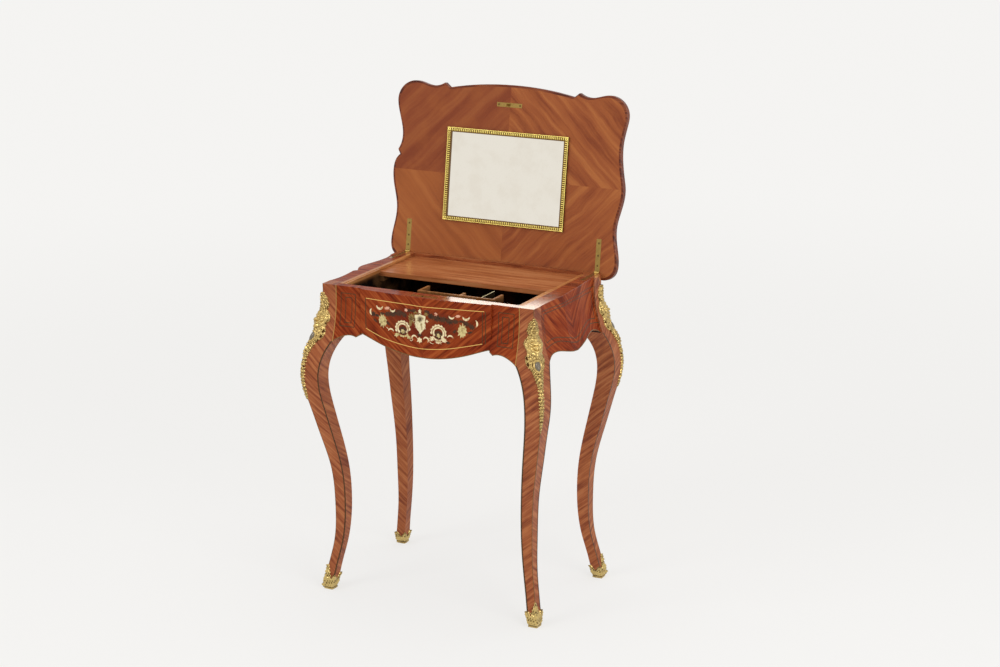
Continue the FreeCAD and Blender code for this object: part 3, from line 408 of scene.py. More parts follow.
def rising(net, spots, side_lean, side_middle):
    """Stripes that rise away from the middle of each face."""
    return net.use(rising_stripes, Position=spots["Object"], Facing=spots["Normal"],
                   Front_Lean=FRONT_LEAN, Side_Lean=side_lean, Side_Middle=side_middle).values()


def leg_stripes(net, spots):
    """Stripes that rise away from the middle of the table on every leg."""
    return rising(net, spots, LEG_SIDE_LEAN, LEG_MIDDLE)


def case_stripes(net, spots):
    """Stripes that rise away from the middle of each panel."""
    return rising(net, spots, PANEL_SIDE_LEAN, PANEL_MIDDLE)


def lid_up(y, z):
    """How far up the lid a point is from the hinges."""
    return (z - HINGE_Z) * LID_RISE_Z + (y - HINGE_Y) * LID_RISE_Y


def lid_point(across, up, out):
    """A point on the open lid: across it, up from the hinges, and out from its underside."""
    return Vector((across, HINGE_Y + up * LID_RISE_Y - out * LID_RISE_Z,
                   HINGE_Z + up * LID_RISE_Z + out * LID_RISE_Y))


def quartered_lid(net, spots):
    """Four quarters of veneer whose stripes make a lozenge on the lid."""
    x, y, z = net.parts(spots["Object"])
    above = lid_up(y, z) - LID_QUARTER_HEIGHT
    out, off = abs(x), abs(above)
    sine, cosine = math.sin(LID_LEAN), math.cos(LID_LEAN)
    quarter = x.work("SIGN") + above.work("SIGN") * 2.0
    return out * sine + off * cosine, out * cosine - off * sine, quarter


def left_to_right(net, spots):
    """Solid wood whose grain runs from left to right."""
    return net.use(straight_grain, Position=spots["Object"]).values()


def front_to_back(net, spots):
    """Solid wood whose grain runs from front to back."""
    x, y, z = net.parts(spots["Object"])
    return net.use(straight_grain, Position=net.joined(y, x, z)).values()


# Strength and height, in metres, of the relief that light shows on each kind of finish
WOOD_BUMP = (0.25, 0.0002)
METAL_BUMP = (0.3, 0.00012)
VENEER_BUMP = (0.2, 0.0001)
MIRROR_BUMP = (0.03, 0.00004)
# What use leaves on wood: the coat that is left, the lighter tone and the depth of scratches
RUBBED_COAT = 0.6
RUBBED_LIGHT = 0.22
WOOD_SCRATCH = -0.35
PORE_ROUGHNESS = 0.2
DUST_ROUGHNESS = 0.25
COAT_ROUGHNESS = 0.14


def wood(name, grain, tones, stripe=0.006, fibre=0.0006, wander=0.006, lines=0.5,
         polish=0.3, roughness=0.36, gloss=0.05, shade=None, at_rim=False):
    """French-polished wood: figure, pores, rubbed polish and a thin clear coat."""
    net, shader, spots = new_finish(name)
    across, along, depth = grain(net, spots)
    dark, middle, light = [tone(*card) for card in tones]
    figure = net.use(wood_figure, Across=across, Along=along, Depth=depth, Stripe=stripe,
                     Fibre=fibre, Wander=wander, Dark=dark, Middle=middle, Light=light,
                     Line_Strength=lines)
    handled = net.use(handling, Position=spots["Object"])
    colour = shade(net, spots, figure["Color"]) if shade else figure["Color"]
    coat = net.rise(handled["Rubbed"], 0.0, 1.0, polish, polish * RUBBED_COAT)
    if at_rim:
        coat = coat.work("MAXIMUM", net.use(rim_polish, Position=spots["Object"])["Weight"])
    height = handled["Scratch"] * WOOD_SCRATCH + figure["Height"]
    dusty = handled["Dust"] * DUST_ROUGHNESS + roughness
    net.wire(shader, Base_Color=net.blend(handled["Rubbed"] * RUBBED_LIGHT, colour, light),
             Roughness=figure["Pore"] * PORE_ROUGHNESS + dusty, Coat_Weight=coat,
             Coat_Roughness=COAT_ROUGHNESS, Specular_IOR_Level=gloss,
             Normal=net.bumped(height, *WOOD_BUMP))


METAL_SCRATCH = -0.5
STONE_METALLIC = 0.2


def metal(name, gold, brown, metallic, stone_tone=None):
    """Gilt or plain brass, painted shade and brown in recesses; stone_tone colours its set stones.
    """
    net, shader, spots = new_finish(name)
    face = net.use(gilding, Position=spots["Object"], Hollow=net.stored("hollow"),
                   Gold=tone(*gold), Brown=tone(*brown))
    colour = face["Color"]
    if stone_tone:
        stone = net.stored("stone")
        colour = net.blend(stone, colour, tone(*stone_tone))
        metallic = net.rise(stone, 0.0, 1.0, metallic, STONE_METALLIC)
    handled = net.use(handling, Position=spots["Object"], Patch=40.0, Scratch=400.0)
    height = handled["Scratch"] * METAL_SCRATCH + face["Height"]
    net.wire(shader, Base_Color=colour, Metallic=metallic, Roughness=face["Roughness"],
             Normal=net.bumped(height, *METAL_BUMP))


# Black painted as shade inside the case: on faces that look into it, and deep in the well
PAINTED_SHADE_BLACK = (16, 9, 7)
# Where the front's ground is stained darker behind the marquetry, in metres
GROUND_MIDDLE = (-0.002, 0.664)
GROUND_REACH = (0.088, 0.030)
GROUND_BACK = -0.17
GROUND_TONE = (94, 32, 20)
GROUND_SHARE = 0.62
GROUND_SQUARENESS = 4.0
GROUND_EDGE = (1.5, 0.5)
# Faces that look into the case, by their direction times their place, are painted black as shade
SHADED_INNER_FACE = -0.05


def stained_ground_and_inner_shade(net, spots, colour):
    """The front's ground, stained darker behind the marquetry, and inner faces painted black as
    shade.
    """
    x, y, z = net.parts(spots["Object"])
    wide = abs((x - GROUND_MIDDLE[0]) / GROUND_REACH[0])
    tall = abs((z - GROUND_MIDDLE[1]) / GROUND_REACH[1])
    off = wide.work("POWER", GROUND_SQUARENESS) + tall.work("POWER", GROUND_SQUARENESS)
    inside = net.rise(off, *GROUND_EDGE) * (y < GROUND_BACK)
    colour = net.blend(inside * GROUND_SHARE, colour, tone(*GROUND_TONE))
    _, face_y, _ = net.parts(spots["Normal"])
    # Painted shade: the faces that look into the case are painted black
    return net.blend(face_y * y < SHADED_INNER_FACE, colour, tone(*PAINTED_SHADE_BLACK))


# The heights between which the inside of the well goes from light to black, as painted shade
WELL_LIGHT_TOP = 0.7225
WELL_DARK_TOP = 0.700


def painted_well_shade(net, spots, colour):
    """The inside of the well, painted darker below its rim as shade, down to black."""
    _, _, z = net.parts(spots["Object"])
    # Painted shade: the lining darkens with depth into the well
    return net.blend(net.rise(z, WELL_LIGHT_TOP, WELL_DARK_TOP), colour, tone(*PAINTED_SHADE_BLACK))


# The painted shade on the slip's side faces
SLIP_SHADE = (34, 26, 16)
# How much a face of the slip looks up where it is pale and where it is painted dark as shade
SLIP_FACES = (0.8, 0.3)


def painted_shade_faces(net, spots, colour):
    """A slip whose side faces are painted dark as shade, so its top edge alone looks lit."""
    _, _, face_z = net.parts(spots["Normal"])
    return net.blend(net.rise(face_z, *SLIP_FACES), colour, tone(*SLIP_SHADE))


RED_QUARTER = (126, 62, 38)
RED_SHARE = 0.6
GOLD_QUARTER = (162, 94, 50)
GOLD_SHARE = 0.5


def tinted_quarters(net, spots, colour):
    """The lid's quarters, one redder and one more golden than the others."""
    x, y, z = net.parts(spots["Object"])
    upper = lid_up(y, z) > LID_QUARTER_HEIGHT
    left = x < 0.0
    colour = net.blend(left * upper * RED_SHARE, colour, tone(*RED_QUARTER))
    return net.blend(left * (upper < 0.5) * GOLD_SHARE, colour, tone(*GOLD_QUARTER))


MIRROR_ROUGHNESS = 0.05
MIRROR_DUST_ROUGHNESS = 0.04
MIRROR_TONE = (240, 235, 224)
MIRROR_CLOUD_TONE = (236, 230, 218)


def make_mirror():
    """Old silvered glass with faint clouding."""
    net, shader, spots = new_finish("mirror_glass")
    handled = net.use(handling, Position=spots["Object"], Patch=22.0, Scratch=260.0)
    colour = net.blend(handled["Rubbed"], tone(*MIRROR_TONE), tone(*MIRROR_CLOUD_TONE))
    net.wire(shader, Base_Color=colour, Metallic=1.0,
             Roughness=handled["Dust"] * MIRROR_DUST_ROUGHNESS + MIRROR_ROUGHNESS,
             Normal=net.bumped(handled["Scratch"], *MIRROR_BUMP))


# The keyhole, across and up, and how far round it the pearl is browned, in metres
KEYHOLE_SPOT = (-0.006, 0.674)
KEYHOLE_WEAR = (0.0035, 0.0085)
KEYHOLE_TONE = (84, 58, 30)
KEYHOLE_BROWNING = 0.8


def worn_keyhole(net, spots, colour):
    """Pearl browned by the key round its keyhole."""
    x, _, z = net.parts(spots["Object"])
    off = net.length(net.joined(x - KEYHOLE_SPOT[0], z - KEYHOLE_SPOT[1], 0.0))
    worn = net.rise(off, *KEYHOLE_WEAR[::-1], 0.0, KEYHOLE_BROWNING)
    return net.blend(worn, colour, tone(*KEYHOLE_TONE))


VENEER_ROUGHNESS = 0.38
VENEER_DUST_ROUGHNESS = 0.3
VENEER_COAT_ROUGHNESS = 0.18
VENEER_GLOSS = 0.1


def marquetry(name, light, dark, polish=0.25, cloud=130.0, shade=None):
    """Stained and shaded veneer, with cut lines and polish over it."""
    net, shader, spots = new_finish(name)
    cut = net.use(cut_veneer, Position=spots["Object"], Cloud=cloud, Light=tone(*light),
                  Dark=tone(*dark))
    handled = net.use(handling, Position=spots["Object"])
    colour = shade(net, spots, cut["Color"]) if shade else cut["Color"]
    net.wire(shader, Base_Color=colour, Coat_Weight=polish, Specular_IOR_Level=VENEER_GLOSS,
             Roughness=handled["Dust"] * VENEER_DUST_ROUGHNESS + VENEER_ROUGHNESS,
             Coat_Roughness=VENEER_COAT_ROUGHNESS, Normal=net.bumped(cut["Height"], *VENEER_BUMP))


wood("kingwood_legs", leg_stripes, ((112, 52, 30), (148, 80, 46), (173, 107, 66)),
     stripe=0.0065, lines=0.28, polish=0.2, at_rim=True)
wood("kingwood_case", case_stripes, ((88, 26, 8), (129, 49, 20), (158, 77, 36)),
     stripe=0.0065, lines=0.22, polish=0.06, gloss=0.03, shade=stained_ground_and_inner_shade, at_rim=True)
wood("rail_wood", left_to_right, ((104, 48, 25), (142, 74, 40), (168, 104, 64)), polish=0.25)
# The lining wood carries painted shade, darker with depth into the well
wood("lining_wood", front_to_back, ((150, 92, 48), (176, 112, 62), (198, 138, 84)),
     shade=painted_well_shade)
wood("dark_bottom", left_to_right, ((12, 7, 5), (20, 12, 9), (30, 18, 13)), polish=0.1,
     roughness=0.6)
wood("deck_wood", left_to_right, ((142, 78, 42), (166, 98, 56), (184, 120, 76)),
     stripe=0.011, lines=0.2, polish=0.2)
wood("lid_veneer", quartered_lid, ((120, 58, 34), (147, 80, 45), (168, 101, 56)),
     stripe=0.026, fibre=0.0009, wander=0.03, lines=0.12, polish=0.12, shade=tinted_quarters)
wood("lid_edge_wood", left_to_right, ((70, 28, 17), (104, 46, 26), (138, 76, 44)))
wood("mirror_backing", left_to_right, ((60, 34, 22), (90, 56, 36), (112, 74, 48)),
     polish=0.05, roughness=0.6)
metal("gilt_bronze", (206, 177, 110), (78, 46, 16), 0.85, stone_tone=(112, 102, 86))
metal("sabot_gilt", (208, 181, 114), (66, 40, 16), 0.8)
metal("frame_gilt", (255, 232, 122), (70, 44, 16), 0.25)
metal("frame_ground", (112, 80, 36), (50, 32, 14), 0.7)
metal("brass", (162, 132, 70), (60, 42, 20), 0.8)
metal("screw_brass", (112, 86, 44), (44, 30, 16), 0.8)
metal("string_brass", (232, 186, 100), (150, 104, 48), 0.4)
metal("fillet_brass", (180, 138, 72), (96, 64, 30), 0.5)
metal("edge_brass", (122, 92, 50), (58, 36, 18), 0.6)
metal("lock_steel", (140, 138, 142), (62, 46, 38), 1.0)
# The bone slip's side faces carry painted shade
marquetry("bone", (236, 226, 180), (206, 188, 140), shade=painted_shade_faces)
marquetry("mother_of_pearl", (228, 216, 172), (146, 124, 76), polish=0.5, cloud=95.0,
          shade=worn_keyhole)
marquetry("pale_veneer", (232, 214, 170), (180, 150, 104))
marquetry("cream_veneer", (206, 188, 130), (150, 126, 78))
marquetry("brown_veneer", (136, 108, 56), (84, 58, 28))
marquetry("rose_veneer", (222, 170, 140), (176, 112, 84))
marquetry("dark_veneer", (74, 42, 20), (50, 30, 14))
marquetry("green_black_banding", (76, 52, 22), (52, 34, 14))
make_mirror()

NODE_SLOTS = {part["node"]: part["material_slot"] for part in frame["record"]["subparts"]}


def finish_nodes():
    """Every CAD piece gets the finish that its slot names, or one of its own."""
    for name, piece in nodes.items():
        finish = NODE_SLOTS[name]
        if name.startswith("mirror_frame"):
            finish = "frame_ground"
        if name.endswith("_screws"):
            finish = "screw_brass"
        if name == "stile_fillets":
            finish = "fillet_brass"
        for held in piece.material_slots:
            held.link = "OBJECT"
            held.material = finishes[finish]


# Laying thin pieces on the carcass

INLAY_LIFT = 0.12 * MM
STRING_LIFT = 0.16 * MM
INLAY_GRID = 5.0
SAME_POINT = 1e-5
STRING_STEP = 3.0
FAR_OFF = 0.6


def surface_of(*names):
    """The faces of these CAD pieces, ready to lay other pieces on."""
    corners, faces = [], []
    for name in names:
        mesh = nodes[name].data
        first = len(corners)
        corners += [corner.co.copy() for corner in mesh.vertices]
        faces += [[first + number for number in face.vertices] for face in mesh.polygons]
    return BVHTree.FromPolygons(corners, faces)


def onto_front(*names):
    """Carries a flat point, across and up in millimetres, onto the front."""
    surface = surface_of(*names)
    return lambda x, z: surface.ray_cast(Vector((x * MM, -FAR_OFF, z * MM)), Vector((0, 1, 0)))


def onto_side(side, *names):
    """Carries a flat point, front to back and up in millimetres, onto a side."""
    surface = surface_of(*names)
    return lambda y, z: surface.ray_cast(Vector((side * FAR_OFF, y * MM, z * MM)),
                                         Vector((-side, 0, 0)))


def new_piece(name, corners, faces, finish, body="carcass", smooth=False):
    """A mesh piece that rides a body."""
    mesh = bpy.data.meshes.new(name)
    mesh.from_pydata([tuple(corner) for corner in corners], [], faces)
    mesh.materials.append(finishes[finish])
    if smooth:
        mesh.polygons.foreach_set("use_smooth", [True] * len(mesh.polygons))
    mesh.update()
    piece = new_object(name, mesh)
    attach(piece, body)
    return piece


def sheet_of(outline):
    """A flat sheet with the outline's shape, divided so that it can bend."""
    count = len(outline)
    points = [Vector(point) for point in outline]
    low = np.min(np.array(outline), axis=0)
    high = np.max(np.array(outline), axis=0)
    for x in np.arange(low[0] + INLAY_GRID / 2, high[0], INLAY_GRID):
        for z in np.arange(low[1] + INLAY_GRID / 2, high[1], INLAY_GRID):
            points.append(Vector((x, z)))
    corners, _, faces, *_ = delaunay_2d_cdt(points, [], [list(range(count))], 1, SAME_POINT)
    return [tuple(corner) for corner in corners], [list(face) for face in faces]


def unit(vectors):
    """The same directions, each of length one."""
    return vectors / np.linalg.norm(vectors, axis=-1)[..., None]


def smooth_line(points):
    """A smooth line through the points, divided evenly enough to bend."""
    points = [np.array(point, float) for point in points]
    line = []
    for number in range(len(points) - 1):
        before = points[max(number - 1, 0)]
        start, end = points[number], points[number + 1]
        after = points[min(number + 2, len(points) - 1)]
        steps = max(4, math.ceil(np.linalg.norm(end - start) / STRING_STEP))
        for step in range(steps):
            share = step / steps
            line.append(0.5 * (2 * start + (end - before) * share
                               + (2 * before - 5 * start + 4 * end - after) * share ** 2
                               + (3 * start - before - 3 * end + after) * share ** 3))
    line.append(points[-1])
    return line


def ribbon(points, width, end_width=None):
    """A flat strip along a smooth line, as wide at its end as end_width."""
    line = np.array(smooth_line(points))
    along = unit(np.gradient(line, axis=0))
    beside = np.stack([-along[:, 1], along[:, 0]], axis=1)
    last = width if end_width is None else end_width
    halves = np.linspace(width, last, len(line))[:, None] / 2
    corners = np.concatenate([line + beside * halves, line - beside * halves])
    count = len(line)
    faces = [[n + count, n + 1 + count, n + 1, n] for n in range(count - 1)]
    return [tuple(corner) for corner in corners], faces


CRESCENT_STEPS = 14
CRESCENT_ENDS = (0.08, 0.92)


def around(middle, radii, angles):
    """Points round a middle, at these radii and angles."""
    return [(middle[0] + radius * math.cos(angle), middle[1] + radius * math.sin(angle))
            for radius, angle in zip(radii, angles)]


def crescent(middle, radius, band, start, end):
    """A C-shaped strip that tapers to both ends, its angles in degrees."""
    angles = np.radians(np.linspace(start, end, CRESCENT_STEPS + 1))
    thick = band / 2 * np.sin(np.linspace(*CRESCENT_ENDS, CRESCENT_STEPS + 1) * math.pi)
    outer = around(middle, radius + thick, angles)
    return sheet_of(outer + around(middle, radius - thick, angles)[::-1])


def arc_band(middle, inner, outer, start, end, scallops=0, depth=0.0):
    """A curved band between two radii; its outer edge may be scalloped."""
    steps = max(18, scallops * 6)
    angles = np.radians(np.linspace(start, end, steps + 1))
    waves = np.abs(np.sin(np.linspace(0, max(scallops, 1), steps + 1) * math.pi))
    reach = outer - depth * (1 - waves) if scallops else [outer] * (steps + 1)
    outside = around(middle, reach, angles)
    return sheet_of(outside + around(middle, [inner] * (steps + 1), angles)[::-1])


# How uneven the lobes are, and how that turns from lobe to lobe
LOBE_UNEVENNESS = 0.12
LOBE_TURN = 2.4


def foliage(x, z, half_width, half_height, points, depth, lean=0.0):
    """A leafy shape with pointed lobes all round; lean is in degrees."""
    outline = []
    turn = math.radians(lean)
    for number in range(points * 2):
        angle = math.pi * number / points
        reach = 1.0 if number % 2 == 0 else 1.0 - depth
        reach *= 1.0 + LOBE_UNEVENNESS * math.sin(number * LOBE_TURN)
        along, beside = half_width * reach * math.cos(angle), half_height * reach * math.sin(angle)
        outline.append((x + along * math.cos(turn) - beside * math.sin(turn),
                        z + along * math.sin(turn) + beside * math.cos(turn)))
    return sheet_of(outline)


# A shell's scalloped back, its band and its base, in millimetres and degrees: inner and outer
# radius, the angles between which it runs, its scallops and how deep they are
SHELL_ARCS = ((15.4, 20.2, -12, 200, 9, 2.8), (10.4, 14.2, -30, 205, 0, 0.0),
              (14.6, 18.8, 218, 318, 5, 2.4))
# The curled ends of the band: their angles, how far out they lie and their radius
CURL_ANGLES = (-34, 209)
CURL_REACH = 11.6
CURL_RADIUS = 2.9
# The leaf in the shell: how far below its middle, and its half sizes, points, depth and lean
HEART_DROP = 5.5
HEART_LEAF = (5.2, 6.2, 6, 0.34, 20)


def shell(middle, base_lean):
    """A shell: a scalloped back, a C-shaped band with curled ends, and base leaves."""
    x, z = middle
    back, band, base = [[arc_band(middle, inner, outer, start + base_lean, end + base_lean, *wavy)]
                        for inner, outer, start, end, *wavy in SHELL_ARCS]
    for angle in CURL_ANGLES:
        turn = math.radians(angle + base_lean)
        spot = (x + CURL_REACH * math.cos(turn), z + CURL_REACH * math.sin(turn))
        band.append(disc(spot, CURL_RADIUS, CURL_RADIUS))
    return back, band, base, [foliage(x, z - HEART_DROP, *HEART_LEAF)]


DISC_STEPS = 16


def disc(middle, half_width, half_height):
    """A round or oval sheet."""
    return sheet_of([(middle[0] + half_width * math.cos(math.tau * n / DISC_STEPS),
                      middle[1] + half_height * math.sin(math.tau * n / DISC_STEPS))
                     for n in range(DISC_STEPS)])


def inlay(name, sheets, carry, finish, lift=STRING_LIFT, flip=False):
    """Lays flat sheets on a surface as one piece."""
    corners, faces = [], []
    for points, patches in sheets:
        landed = []
        for point in points:
            spot, normal, _, _ = carry(*point)
            landed.append(None if spot is None else spot + normal * lift)
        first = len(corners)
        kept = {number: first + len([p for p in landed[:number] if p is not None])
                for number, spot in enumerate(landed) if spot is not None}
        corners += [spot for spot in landed if spot is not None]
        for patch in patches:
            if all(number in kept for number in patch):
                row = [kept[number] for number in patch]
                faces.append(row[::-1] if flip else row)
    new_piece(name, corners, faces, finish)


# Front stringing, across and up, in millimetres, and how wide its strings are
BOW_STRING = 1.5
BOW_LEFT_STRING = 2.0
DARK_STRING = 1.6
BOW_TOP_LINE = ((-147, 703), (-40, 703), (0, 702), (60, 704), (130, 705.5), (147, 706))
BOW_LOWER_LINE = ((-147, 635), (-125, 627), (-100, 619), (-70, 613), (-40, 609), (-10, 607),
                  (20, 608.5), (60, 614), (100, 623), (143, 634))
BOW_LEFT_LINE = ((-147.5, 703), (-148, 670), (-147, 635))
BOW_RIGHT_LINES = (((143, 705.5), (143, 670), (143, 634)), ((150, 706), (150, 634)))
# Rectangles of stringing beside the bow: left, bottom, right and top
PIER_RECTANGLES = ((178, 633, 215, 706), (187, 641, 203, 697))
# The side panels' stringing, front to back in the carcass and up
CARCASS_SHIFT = -24.0258
SIDE_TOP_LINES = (((-130, 708), (0, 704), (136, 703)), ((-122, 700), (0, 697), (127, 693)))
SIDE_UPRIGHTS = (((-130, 708), (-130, 626)), ((-122, 700), (-122, 637)),
                 ((127, 693), (127, 632)), ((136, 703), (136, 621)))
SIDE_LOWER_LINES = (
    ((-130, 626), (-110, 629), (-85, 630), (-60, 627), (-30, 618), (0, 610), (18, 609),
     (40, 613), (60, 620), (90, 626), (110, 625), (136, 621)),
    ((-122, 637), (-90, 640), (-60, 635), (-20, 625), (0, 619), (25, 620), (50, 628), (75, 634),
     (95, 636), (127, 632)))


def rectangle_strings(left, bottom, right, top):
    """Four strings round a rectangle."""
    rows = (((left, bottom), (right, bottom)), ((left, top), (right, top)),
            ((left, bottom), (left, top)), ((right, bottom), (right, top)))
    return [ribbon(row, DARK_STRING) for row in rows]


def lay_front_strings(carry):
    """The brass and dark strings of the front."""
    lines = [ribbon(BOW_TOP_LINE, BOW_STRING), ribbon(BOW_LOWER_LINE, BOW_STRING)]
    inlay("front_strings", lines, carry, "string_brass")
    dark = [ribbon(BOW_LEFT_LINE, BOW_LEFT_STRING)]
    dark += [ribbon(line, BOW_STRING) for line in BOW_RIGHT_LINES]
    for side in (-1, 1):
        for left, bottom, right, top in PIER_RECTANGLES:
            near, far = sorted((side * left, side * right))
            dark += rectangle_strings(near, bottom, far, top)
    inlay("front_dark_strings", dark, carry, "green_black_banding")


def lay_side_strings():
    """The double outline of stringing on each side panel."""
    for side, word in ((1, "right"), (-1, "left")):
        carry = onto_side(side, "side_panel_" + word, "leg_front_" + word, "leg_back_" + word)
        lines = [ribbon([(y + CARCASS_SHIFT, z) for y, z in line], DARK_STRING)
                 for line in SIDE_TOP_LINES + SIDE_UPRIGHTS + SIDE_LOWER_LINES]
        inlay("side_strings_" + word, lines, carry, "green_black_banding",
              flip=side < 0)


# Marquetry of the front, in millimetres
LEFT_SHELL = (-50, 646)
RIGHT_SHELL = (39, 647)
SHELL_LEAN = 6
# The dark ground in each shell: how far below its middle, and its radius
SHELL_DROP = 4
SHELL_GROUND = 9.6
# Dark leaves in a garland: x, z, half width, half height, points, depth, lean
DARK_FOLIAGE = (
    (-127, 670, 8, 7, 7, 0.4, 30), (-116, 668, 8, 4, 6, 0.4, -10), (-103, 674, 8, 4, 7, 0.4, 0),
    (-88, 675, 11, 7, 9, 0.4, 10), (-74, 678, 12, 9, 9, 0.4, 20), (-59, 681, 12, 9, 9, 0.4, 10),
    (-46, 679, 9, 7, 8, 0.4, -20), (-34, 690, 7, 5, 6, 0.4, 0), (-22, 691, 9, 5, 7, 0.4, 10),
    (11, 692, 9, 5, 7, 0.4, -10), (21, 683, 11, 8, 8, 0.4, -20), (36, 680, 12, 9, 9, 0.4, -10),
    (51, 679, 12, 8, 9, 0.4, 5), (66, 677, 12, 9, 9, 0.4, -10), (80, 677, 9, 6, 7, 0.4, 0),
    (94, 679, 8, 4, 6, 0.4, 0), (105, 675, 10, 7, 8, 0.4, -25), (118, 669, 10, 7, 8, 0.4, -30),
    (-122, 656, 8, 3, 6, 0.4, -35), (-88, 654, 7, 4, 6, 0.4, -40), (78, 655, 7, 4, 6, 0.4, 40),
    (114, 656, 9, 3, 6, 0.4, 25), (-8, 638, 7, 5, 6, 0.4, 0), (62, 628, 6, 4, 6, 0.4, 10))
CREAM_FOLIAGE = (
    (-102, 658, 12, 16, 11, 0.30, 12), (96, 658, 12, 17, 11, 0.30, -10),
    (-66, 631, 7, 5.5, 6, 0.4, 30), (-35, 629, 6, 5, 6, 0.4, -20))
WHITE_FOLIAGE = (
    (22, 633, 8, 6.5, 7, 0.42, 20), (52, 633, 9, 6.5, 7, 0.42, -15),
    (-8, 626, 7.5, 8, 6, 0.42, 30), (39, 627, 9, 4.4, 8, 0.35, 0),
    (-6, 691, 6.5, 5.4, 5, 0.5, 90), (10.5, 671, 5, 4.4, 5, 0.45, 0),
    (-20.5, 669, 4.6, 4.4, 5, 0.45, 180), (-15.5, 655, 4.4, 3.6, 5, 0.45, 210),
    (4.5, 655, 4.4, 3.6, 5, 0.45, -30), (-6, 643, 4, 4, 5, 0.45, -90))
BROWN_FOLIAGE = ((-27, 673, 10, 13, 10, 0.36, 15), (-31, 660, 5, 7, 6, 0.35, 0),
                 (-16, 685, 8, 6, 7, 0.38, 0), (9, 686, 6, 5, 6, 0.35, 0))
ROSE_FOLIAGE = ((-90, 688, 8, 4, 7, 0.35, 15), (33, 689, 4.4, 5, 5, 0.35, 10),
                (-41, 690, 4.6, 4.4, 5, 0.35, 0), (86, 690, 7, 3.6, 6, 0.35, 10))
PALE_CRESCENTS = (
    ((-110, 692), 8, 5.2, 190, 350), ((105, 692), 8, 5.2, 190, 350),
    ((-76, 689), 6.5, 4.0, 190, 350), ((71, 690), 6.5, 4.0, 190, 340),
    ((-126, 674.5), 9, 4.4, 130, 235), ((121, 677), 10, 4.4, -45, 50),
    ((-80.5, 635), 7.5, 3.6, 20, 160), ((67.5, 637), 7.5, 3.6, 20, 160),
    ((-21, 629), 6.0, 3.6, 10, 230), ((8, 628), 6.0, 3.6, -50, 170))
CURL_WIDTHS = (1.6, 0.6)
THIN_CURLS = (
    ((-92, 645), (-88, 642), (-85, 641)), ((17, 626), (22, 622), (27, 622)),
    ((-32, 624), (-28, 622), (-24, 626)))


def lay_marquetry(carry):
    """Shells, leaves and garlands laid into the front."""
    dark = [foliage(*row) for row in DARK_FOLIAGE]
    dark += [disc((x, z - SHELL_DROP), SHELL_GROUND, SHELL_GROUND)
             for x, z in (LEFT_SHELL, RIGHT_SHELL)]
    inlay("marquetry_dark_garland", dark, carry, "dark_veneer", INLAY_LIFT)
    cream, white = [foliage(*row) for row in CREAM_FOLIAGE], []
    for middle, lean, under in ((LEFT_SHELL, SHELL_LEAN, cream),
                                (RIGHT_SHELL, -SHELL_LEAN, white)):
        back, band, base, heart = shell(middle, lean)
        white += back + band
        under.extend(base)
        cream += heart
    white += [foliage(*row) for row in WHITE_FOLIAGE]
    white += [crescent(*row) for row in PALE_CRESCENTS]
    white += [ribbon(line, *CURL_WIDTHS) for line in THIN_CURLS]
    inlay("marquetry_cream_leaves", cream, carry, "cream_veneer")
    inlay("marquetry_pale_shells", white, carry, "pale_veneer")
    brown = [foliage(*row) for row in BROWN_FOLIAGE]
    inlay("marquetry_brown_leaves", brown, carry, "brown_veneer")
    rose = [foliage(*row) for row in ROSE_FOLIAGE]
    inlay("marquetry_rose_flowers", rose, carry, "rose_veneer")


# Lines along the arrises and lower edges

SHARP_EDGE = math.radians(28.0)
# Corners nearer than this, in metres, are one
SAME_CORNER = 0.002 * MM
# How wide the lines are, in millimetres
CORNER_LINE = 0.9
LEG_BANDING = 3.2
APRON_BAND = 1.8


def edge_bands(name, node, choose, width, finish):
    """Thin bands beside the sharp edges of a CAD piece, on the faces that choose picks."""
    mesh = bmesh.new()
    mesh.from_mesh(nodes[node].data)
    bmesh.ops.remove_doubles(mesh, verts=mesh.verts, dist=SAME_CORNER)
    mesh.normal_update()
    corners, faces = [], []
    for edge in mesh.edges:
        if len(edge.link_faces) != 2 or edge.calc_face_angle(0.0) < SHARP_EDGE:
            continue
        start, end = edge.verts[0].co, edge.verts[1].co
        pair = tuple(edge.link_faces)
        for face, other in (pair, pair[::-1]):
            if not choose((start + end) / 2, (end - start).normalized(), face.normal,
                          other.normal):
                continue
            inward = face.normal.cross(end - start).normalized()
            if inward.dot(face.calc_center_median() - start) < 0:
                inward = -inward
            first = len(corners)
            up = face.normal * STRING_LIFT
            corners += [start + up, end + up, end + inward * width * MM + up,
                        start + inward * width * MM + up]
            row = [first, first + 1, first + 2, first + 3]
            facing = (end - start).cross(inward).dot(face.normal)
            faces.append(row if facing > 0 else row[::-1])
    mesh.free()
    new_piece(name, corners, faces, finish)


# A line counts as upright above this part, and the legs' banding ends at this height
UPRIGHT = 0.5
BANDING_TOP = 0.60
# How much the faces beside an edge look away from the table, at least or at most
ARRIS_FACES = -0.2
OUTER_FACE = 0.5
INNER_SIDE = -0.3
# A panel's lower edge: its highest place, how much its face may look up or down, how much the
# face below it looks down at least, and how steep the edge may be
APRON_TOP = 0.66
APRON_FACE = 0.4
APRON_UNDERSIDE = -0.5
APRON_STEEP = 0.9


def outward(middle, normal):
    """How much a face at this place looks away from the table, sideways and front to back."""
    return [normal.x * math.copysign(1, middle.x), normal.y * math.copysign(1, middle.y)]


def is_outer_arris(middle, along, normal, other):
    """The corner of a leg that points away from the table."""
    least = min(outward(middle, normal) + outward(middle, other))
    return abs(along.z) > UPRIGHT and least > ARRIS_FACES


def is_inner_edge(middle, along, normal, other):
    """The edges of a leg's outer faces that lie towards the table."""
    if abs(along.z) < UPRIGHT or middle.z > BANDING_TOP:
        return False
    return max(outward(middle, normal)) > OUTER_FACE and min(outward(middle, other)) < INNER_SIDE


